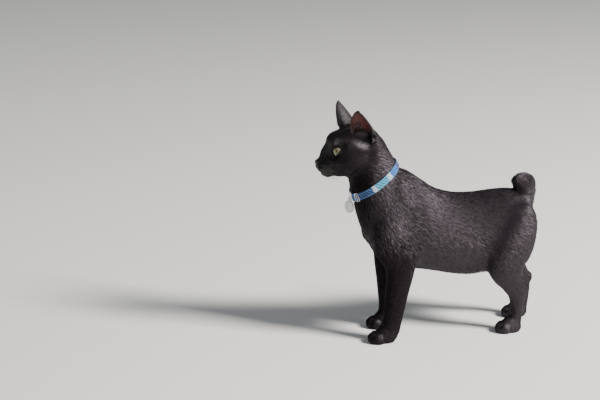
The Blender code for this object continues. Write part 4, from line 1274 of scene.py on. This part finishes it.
def make_tag(finish):
    """A blank round tag with a raised rim and an eyelet."""
    place = flat_place("tag")
    cylinder = bpy.ops.mesh.primitive_cylinder_add
    tag = primitive(cylinder, "name_tag", vertices=96, radius=TAG_RADIUS, depth=TAG_THICKNESS)
    bm = bmesh.new()
    bm.from_mesh(tag.data)
    ends = [face for face in bm.faces if abs(face.normal.z) > 0.9]
    bmesh.ops.inset_individual(bm, faces=ends, thickness=0.75 * MM)
    bmesh.ops.inset_individual(bm, faces=ends, thickness=0.18 * MM, depth=-0.16 * MM)
    bm.to_mesh(tag.data)
    bm.free()
    hole = primitive(cylinder, "hole", vertices=48, radius=TAG_HOLE, depth=TAG_THICKNESS * 4)
    hole.data.transform(Matrix.Translation((0, TAG_HOLE_UP, 0)))
    cut = tag.modifiers.new("hole", "BOOLEAN")
    cut.object = hole
    cut.operation = "DIFFERENCE"
    cut.solver = "EXACT"
    round_edges(tag, 0.16 * MM, 2, 45)
    apply_modifiers(tag)
    bpy.data.objects.remove(hole)
    # The tag's axis is turned to X and its hole up
    quarter = math.radians(90)
    tag.data.transform(Matrix.Rotation(quarter, 4, "Y") @ Matrix.Rotation(quarter, 4, "Z"))
    tag.data.transform(place)
    even_shading(tag, 50)
    cover(tag, finish)
    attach(tag, "root")
    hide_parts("tag")


def make_clip(finish):
    """The folded clip with its lug: a copy of the solid with its edges rounded."""
    bm = bmesh.new()
    bm.from_mesh(frame["nodes"]["collar_clip"].data)
    bmesh.ops.remove_doubles(bm, verts=bm.verts, dist=WELD)
    bmesh.ops.dissolve_limit(bm, angle_limit=math.radians(4), verts=bm.verts, edges=bm.edges)
    clip = object_from(bm, "clip")
    round_edges(clip, 0.22 * MM, 3, 45)
    apply_modifiers(clip)
    even_shading(clip, 50)
    cover(clip, finish)
    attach(clip, "root")
    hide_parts("collar_clip")


# Materials

# Metres to millimetres, for the nodes
TO_MM = 1000.0
PUPIL_BLACK = (0.002, 0.002, 0.002)


class Shader:
    """A procedural material, put together a node at a time."""

    def __init__(self, name, color, roughness, metallic=0.0):
        self.made = bpy.data.materials.new(name)
        self.made.use_nodes = True
        self.tree = self.made.node_tree
        self.surface = self.tree.nodes["Principled BSDF"]
        self.set(Base_Color=(*color, 1.0), Roughness=roughness, Metallic=metallic)

    def node(self, kind, links=(), **settings):
        """Adds a node, with its settings, and its inputs as links or plain values."""
        node = self.tree.nodes.new("ShaderNode" + kind)
        for key, value in settings.items():
            setattr(node, key, value)
        for socket, value in links:
            if isinstance(value, bpy.types.NodeSocket):
                self.tree.links.new(value, node.inputs[socket])
            else:
                node.inputs[socket].default_value = value
        return node

    def attribute(self, name):
        return self.node("Attribute", attribute_name=name).outputs["Fac"]

    def math(self, operation, *values):
        return self.node("Math", list(enumerate(values)), operation=operation).outputs[0]

    def ramp(self, factor, stops, interpolation="LINEAR"):
        """Colours or greys along a ramp, each a place from 0 to 1 and a colour."""
        node = self.node("ValToRGB", [("Fac", factor)])
        ramp = node.color_ramp
        ramp.interpolation = interpolation
        while len(ramp.elements) < len(stops):
            ramp.elements.new(1.0)
        for element, (place, color) in zip(ramp.elements, stops):
            element.position = place
            element.color = (*color, 1.0) if isinstance(color, tuple) else (color, color, color, 1.0)
        return node.outputs["Color"]

    def mix(self, factor, first, second, kind="MIX"):
        """A mix of two colours, each a link or a plain colour."""
        node = self.node("Mix", data_type="RGBA", blend_type=kind)
        sockets = node.inputs["Factor"], node.inputs[6], node.inputs[7]
        for socket, value in zip(sockets, (factor, first, second)):
            if isinstance(value, bpy.types.NodeSocket):
                self.tree.links.new(value, socket)
            elif isinstance(value, tuple):
                socket.default_value = (*value, 1.0)
            else:
                socket.default_value = value
        return node.outputs[2]

    def multiply(self, first, second):
        return self.mix(1.0, first, second, "MULTIPLY")

    def length(self, first, second):
        """The length of a line from its two parts."""
        squares = self.math("MULTIPLY_ADD", first, first, self.math("MULTIPLY", second, second))
        return self.math("SQRT", squares)

    def millimetres(self, place):
        """The parts of a place, as a function from an axis to its value in millimetres."""
        apart = self.node("SeparateXYZ", [("Vector", place)])
        return lambda axis: self.math("MULTIPLY", apart.outputs[axis], TO_MM)

    def noise(self, scale, detail=3.0, vector=None, roughness=0.55):
        place = vector or self.object_place()
        links = [("Vector", place), ("Scale", scale), ("Detail", detail), ("Roughness", roughness)]
        return self.node("TexNoise", links).outputs["Fac"]

    def object_place(self):
        return self.node("TexCoord").outputs["Object"]

    def bump(self, height, distance, strength=1.0):
        links = [("Height", height), ("Distance", distance), ("Strength", strength)]
        node = self.node("Bump", links)
        self.tree.links.new(node.outputs["Normal"], self.surface.inputs["Normal"])

    def plug(self, socket, value):
        self.tree.links.new(value, self.surface.inputs[socket])

    def set(self, **values):
        for name, value in values.items():
            self.surface.inputs[name.replace("_", " ")].default_value = value


# Black hair from its root to its tip, and the pale hair of the ears and temples, which also carries a painted
# sheen on the temples and the backs of the ears
HAIR_DARK, HAIR_LIGHT, PALE_HAIR_AND_SHEEN = (0.0022, 0.0012, 0.0015), (0.020, 0.0150, 0.0180), (0.30, 0.265, 0.285)
HAIR_SHINE = (1.0, 0.87, 0.99, 1.0)
SKIN_DARK, LEATHER = (0.0085, 0.0068, 0.0068), (0.017, 0.0145, 0.0155)
# Inside the ears: the red of the flesh, partly painted light shining through the thin ear, mottled with a
# deeper red
EAR_FLESH_AND_GLOW, EAR_DEEP = (0.115, 0.022, 0.021), (0.048, 0.010, 0.010)
PUPIL_HALF_WIDTH, PUPIL_HALF_HEIGHT = 1.1, 2.2


def coat_finish(name, gloss, rough):
    """Short black hair: near black at the roots, brown-black at the tips, paler by its attribute, which holds
    pale hair and painted sheen.
    """
    shader = Shader(name, HAIR_DARK, rough)
    tips = shader.math("MULTIPLY", shader.attribute("along"), 0.55)
    shade = shader.math("MULTIPLY_ADD", shader.attribute("tone"), 0.45, tips)
    dark = shader.ramp(shade, ((0.0, HAIR_DARK), (1.0, HAIR_LIGHT)))
    patch = shader.ramp(shader.noise(16.0, 2.0), ((0.35, 0.0), (0.68, 0.35)))
    dark = shader.mix(patch, dark, HAIR_DARK)
    # Pale hair and painted sheen, by the attribute
    shader.plug("Base Color", shader.mix(shader.attribute("pale_and_sheen"), dark, PALE_HAIR_AND_SHEEN))
    shader.plug("Roughness", shader.math("MULTIPLY_ADD", shader.attribute("tone"), -0.16, rough + 0.06))
    shader.set(Specular_IOR_Level=gloss, Specular_Tint=HAIR_SHINE)
    return shader.made


def skin_finish():
    """Dark skin under the coat, pebbled leather on the nose and pads, and red flesh inside the ears, partly
    painted light shining through them.
    """
    shader = Shader("skin", SKIN_DARK, 0.55)
    leather, inside = shader.attribute("leather"), shader.attribute("inner")
    cells = [("Vector", shader.object_place()), ("Scale", 1500.0)]
    grain = shader.node("TexVoronoi", cells).outputs["Distance"]
    mottle = shader.ramp(shader.noise(260.0, 4.0), ((0.3, 0.0), (0.75, 1.0)))
    # The inner ear's red is partly painted light shining through the thin ear
    flesh_and_glow = shader.mix(mottle, EAR_FLESH_AND_GLOW, EAR_DEEP)
    hide = shader.mix(mottle, SKIN_DARK, tuple(0.6 * c for c in SKIN_DARK))
    worn = shader.mix(mottle, LEATHER, tuple(1.5 * c for c in LEATHER))
    color = shader.mix(inside, shader.mix(leather, hide, worn), flesh_and_glow)
    shader.plug("Base Color", color)
    shader.plug("Roughness", shader.math("SUBTRACT", 0.58, shader.math("MULTIPLY", leather, 0.20)))
    fine = shader.noise(2400.0, 2.0)
    height = shader.math("MULTIPLY_ADD", grain, shader.math("MULTIPLY", leather, 1.6), fine)
    shader.bump(height, 0.00012, 0.8)
    return shader.made


def iris_finish(name, side):
    """A pale yellow iris round a narrow pupil, streaked outwards, with a dark rim; millimetres on the eye."""
    shader = Shader("iris_" + name, (0.02, 0.012, 0.010), 0.35)
    inverse = (eye_frame(side) @ Matrix.Rotation(-side * EYE_SLANT * 0.9, 4, "X")).inverted()
    place = shader.node(
        "Mapping",
        [
            ("Vector", shader.object_place()),
            ("Location", inverse.translation),
            ("Rotation", inverse.to_euler("XYZ")),
        ],
    ).outputs["Vector"]
    part = shader.millimetres(place)
    across, up = part("Y"), part("Z")
    away = shader.length(across, up)
    # Streaks: noise on the direction from the pupil, drawn out along it
    safe = shader.math("MAXIMUM", away, 0.05)
    direction = shader.node(
        "CombineXYZ",
        [
            ("X", shader.math("DIVIDE", across, safe)),
            ("Y", shader.math("DIVIDE", up, safe)),
            ("Z", shader.math("MULTIPLY", away, 0.035)),
        ],
    ).outputs["Vector"]
    streaks = shader.noise(11.0, 5.0, direction, 0.7)
    ring = shader.math("DIVIDE", away, 10.0)
    ring = shader.math("MULTIPLY_ADD", shader.math("SUBTRACT", streaks, 0.5), 0.10, ring)
    color = shader.ramp(
        ring,
        (
            (0.0, (0.40, 0.34, 0.07)),
            (0.24, (0.62, 0.54, 0.18)),
            (0.42, (0.95, 0.90, 0.68)),
            (0.62, (0.98, 0.94, 0.80)),
            (0.73, (0.36, 0.28, 0.14)),
            (0.79, (0.03, 0.018, 0.012)),
        ),
    )
    lines = shader.ramp(streaks, ((0.30, 0.60), (0.60, 1.0)))
    color = shader.multiply(color, lines)
    # The pupil is an upright oval
    wide = shader.math("DIVIDE", across, PUPIL_HALF_WIDTH)
    tall = shader.math("DIVIDE", up, PUPIL_HALF_HEIGHT)
    pupil = shader.ramp(shader.length(wide, tall), ((0.88, 1.0), (1.0, 0.0)))
    shader.plug("Base Color", shader.mix(pupil, color, PUPIL_BLACK))
    shader.bump(streaks, 0.0002, 0.7)
    return shader.made


def cornea_finish():
    shader = Shader("cornea", (1.0, 1.0, 1.0), 0.02)
    shader.set(Transmission_Weight=1.0, IOR=1.34)
    return shader.made


def whisker_finish():
    """Stiff dark hair, its tone varying at random along it."""
    shader = Shader("whisker", (0.03, 0.028, 0.028), 0.4)
    stops = ((0.3, (0.020, 0.018, 0.018)), (0.7, (0.060, 0.055, 0.054)))
    shader.plug("Base Color", shader.ramp(shader.noise(220.0, 2.0), stops))
    return shader.made


# The band's colours, in order along it, and how long each one runs, in millimetres
NAVY, NAVY_STRIPE = (0.001, 0.020, 0.110), (0.022, 0.19, 0.50)
CYAN, CYAN_STRIPE = (0.060, 0.44, 0.66), (0.002, 0.060, 0.19)
WHITE, WHITE_STRIPE = (0.74, 0.79, 0.83), (0.18, 0.42, 0.62)
SKY, SKY_STRIPE = (0.020, 0.22, 0.58), (0.002, 0.045, 0.24)
VIOLET, VIOLET_STRIPE = (0.020, 0.014, 0.17), (0.11, 0.09, 0.42)
BAND_COLOURS = (
    (NAVY, NAVY_STRIPE, 22.0),
    (WHITE, WHITE_STRIPE, 6.0),
    (CYAN, CYAN_STRIPE, 21.0),
    (WHITE, WHITE_STRIPE, 7.0),
    (SKY, SKY_STRIPE, 17.0),
    (VIOLET, VIOLET_STRIPE, 6.0),
)
BAND_START = 135.5
STRIPE_PITCH, THREAD_PITCH, RIB_PITCH = 4.3, 0.42, 0.55


def band_finish(total):
    """Ribbed webbing with short blocks of blue, white and light blue, each with slanting stripes."""
    shader = Shader("webbing", NAVY, 0.72)
    place = shader.node("UVMap", uv_map="weave").outputs["UV"]
    part = shader.millimetres(place)
    run, up = part("X"), part("Y")
    # The blocks repeat a whole number of times round the band
    pattern = sum(length for _, _, length in BAND_COLOURS)
    scale = round(total / MM / pattern) / (total / MM)
    block = shader.math("MULTIPLY", shader.math("SUBTRACT", run, BAND_START), scale)
    block = shader.math("FRACT", block)
    ground, stripe, at = [], [], 0.0
    for main, second, length in BAND_COLOURS:
        ground.append((at / pattern, main))
        stripe.append((at / pattern, second))
        at += length
    ground, stripe = shader.ramp(block, ground, "CONSTANT"), shader.ramp(block, stripe, "CONSTANT")
    slant = shader.math("DIVIDE", shader.math("MULTIPLY_ADD", up, 0.75, run), STRIPE_PITCH)
    line = shader.ramp(shader.math("PINGPONG", slant, 0.5), ((0.15, 0.0), (0.18, 1.0)))
    color = shader.mix(line, stripe, ground)
    # Threads: ribs across the band, crossed by fine threads along it
    rib = shader.math("SINE", shader.math("MULTIPLY", run, math.tau / RIB_PITCH))
    thread = shader.math("SINE", shader.math("MULTIPLY", up, math.tau / THREAD_PITCH))
    weave = shader.math("MULTIPLY", rib, thread)
    shade = shader.ramp(shader.math("MULTIPLY_ADD", weave, 0.25, 0.5), ((0.2, 0.62), (0.8, 1.0)))
    color = shader.multiply(color, shade)
    dirt = shader.ramp(shader.noise(90.0, 4.0), ((0.35, 0.78), (0.65, 1.0)))
    shader.plug("Base Color", shader.multiply(color, dirt))
    fluff = shader.noise(3500.0, 2.0)
    shader.bump(shader.math("MULTIPLY_ADD", weave, 0.8, fluff), 0.00012, 0.9)
    shader.set(Sheen_Weight=0.15)
    return shader.made


def thread_finish():
    shader = Shader("thread", (0.20, 0.42, 0.74), 0.6)
    twist = shader.noise(2600.0, 2.0)
    shader.plug("Base Color", shader.ramp(twist, ((0.35, (0.10, 0.28, 0.60)), (0.65, (0.30, 0.55, 0.85)))))
    shader.bump(twist, 0.00008, 0.8)
    return shader.made


def metal_finish(name, color, rough_low, rough_high):
    """Polished metal with fine scratches, duller where it rubs."""
    shader = Shader(name, color, rough_low, 1.0)
    rub = shader.noise(160.0, 5.0)
    spread = 2 * (rough_high - rough_low)
    shader.plug("Roughness", shader.math("MULTIPLY_ADD", rub, spread, 2 * rough_low - rough_high))
    dull = shader.ramp(shader.noise(70.0, 4.0), ((0.35, tuple(0.72 * c for c in color)), (0.6, color)))
    shader.plug("Base Color", dull)
    stretched = shader.node(
        "Mapping", [("Vector", shader.object_place()), ("Scale", (900.0, 900.0, 9000.0))]
    ).outputs["Vector"]
    shader.bump(shader.noise(1.0, 3.0, stretched), 0.00003, 0.35)
    return shader.made


# Stage

CAMERA_SPOT = Vector((-0.7104, -2.0986, 0.7253))
CAMERA_AIM = Vector((-0.1674, 0.0683, 0.1778))
LENS = 100.7


LIGHT_SPOT, LIGHT_AIM = Vector((2.5, -2.0, 2.6)), Vector((0.0, 0.0, 0.15))
LIGHT_SIZE, LIGHT_POWER, LIGHT_COLOUR = 1.0, 430.0, (1.0, 0.97, 0.93)
SKY_COLOUR, SKY_STRENGTH = (0.86, 0.90, 0.95, 1.0), 0.28
FLOOR_SIZE, FLOOR_COLOUR = 12.0, (0.88, 0.87, 0.85)


def aimed(name, data, spot, aim):
    """A camera or light at a spot, turned to an aim."""
    obj = new_object(name, data)
    obj.location = spot
    obj.rotation_mode = "QUATERNION"
    obj.rotation_quaternion = (aim - spot).to_track_quat("-Z", "Y")
    return obj


def make_camera():
    data = bpy.data.cameras.new("camera")
    data.lens = LENS
    data.sensor_width = 36.0
    data.clip_start = 0.05
    bpy.context.scene.camera = aimed("camera", data, CAMERA_SPOT, CAMERA_AIM)


def make_stage():
    floor = primitive(bpy.ops.mesh.primitive_plane_add, "floor", size=FLOOR_SIZE)
    cover(floor, Shader("floor", FLOOR_COLOUR, 0.8).made)
    world = bpy.data.worlds.new("studio")
    bpy.context.scene.world = world
    world.use_nodes = True
    sky = world.node_tree.nodes["Background"].inputs
    sky["Color"].default_value = SKY_COLOUR
    sky["Strength"].default_value = SKY_STRENGTH
    light = bpy.data.lights.new("key", "AREA")
    light.size = LIGHT_SIZE
    light.energy = LIGHT_POWER
    light.color = LIGHT_COLOUR
    aimed("key", light, LIGHT_SPOT, LIGHT_AIM)


# Assembly

make_camera()
make_stage()
skin = make_skin()
mark_skin(skin)
cover(skin, skin_finish())
unwrap(skin)
make_coat(skin, {title: coat_finish("coat_" + title, *gloss) for title, gloss in COAT_GLOSS_AS_SHADE.items()})
cornea = cornea_finish()
for name, side in SIDES.items():
    make_eye(name, side, iris_finish(name, side), cornea)
make_whiskers(skin, whisker_finish())
path = Band()
make_band(path, band_finish(float(path.length(math.pi))))
make_stitches(path, thread_finish())
steel = metal_finish("steel", (0.68, 0.68, 0.70), 0.18, 0.34)
make_slide(path, steel)
make_clip(steel)
make_ring(steel)
make_tag(metal_finish("tag_metal", (0.66, 0.66, 0.68), 0.24, 0.40))
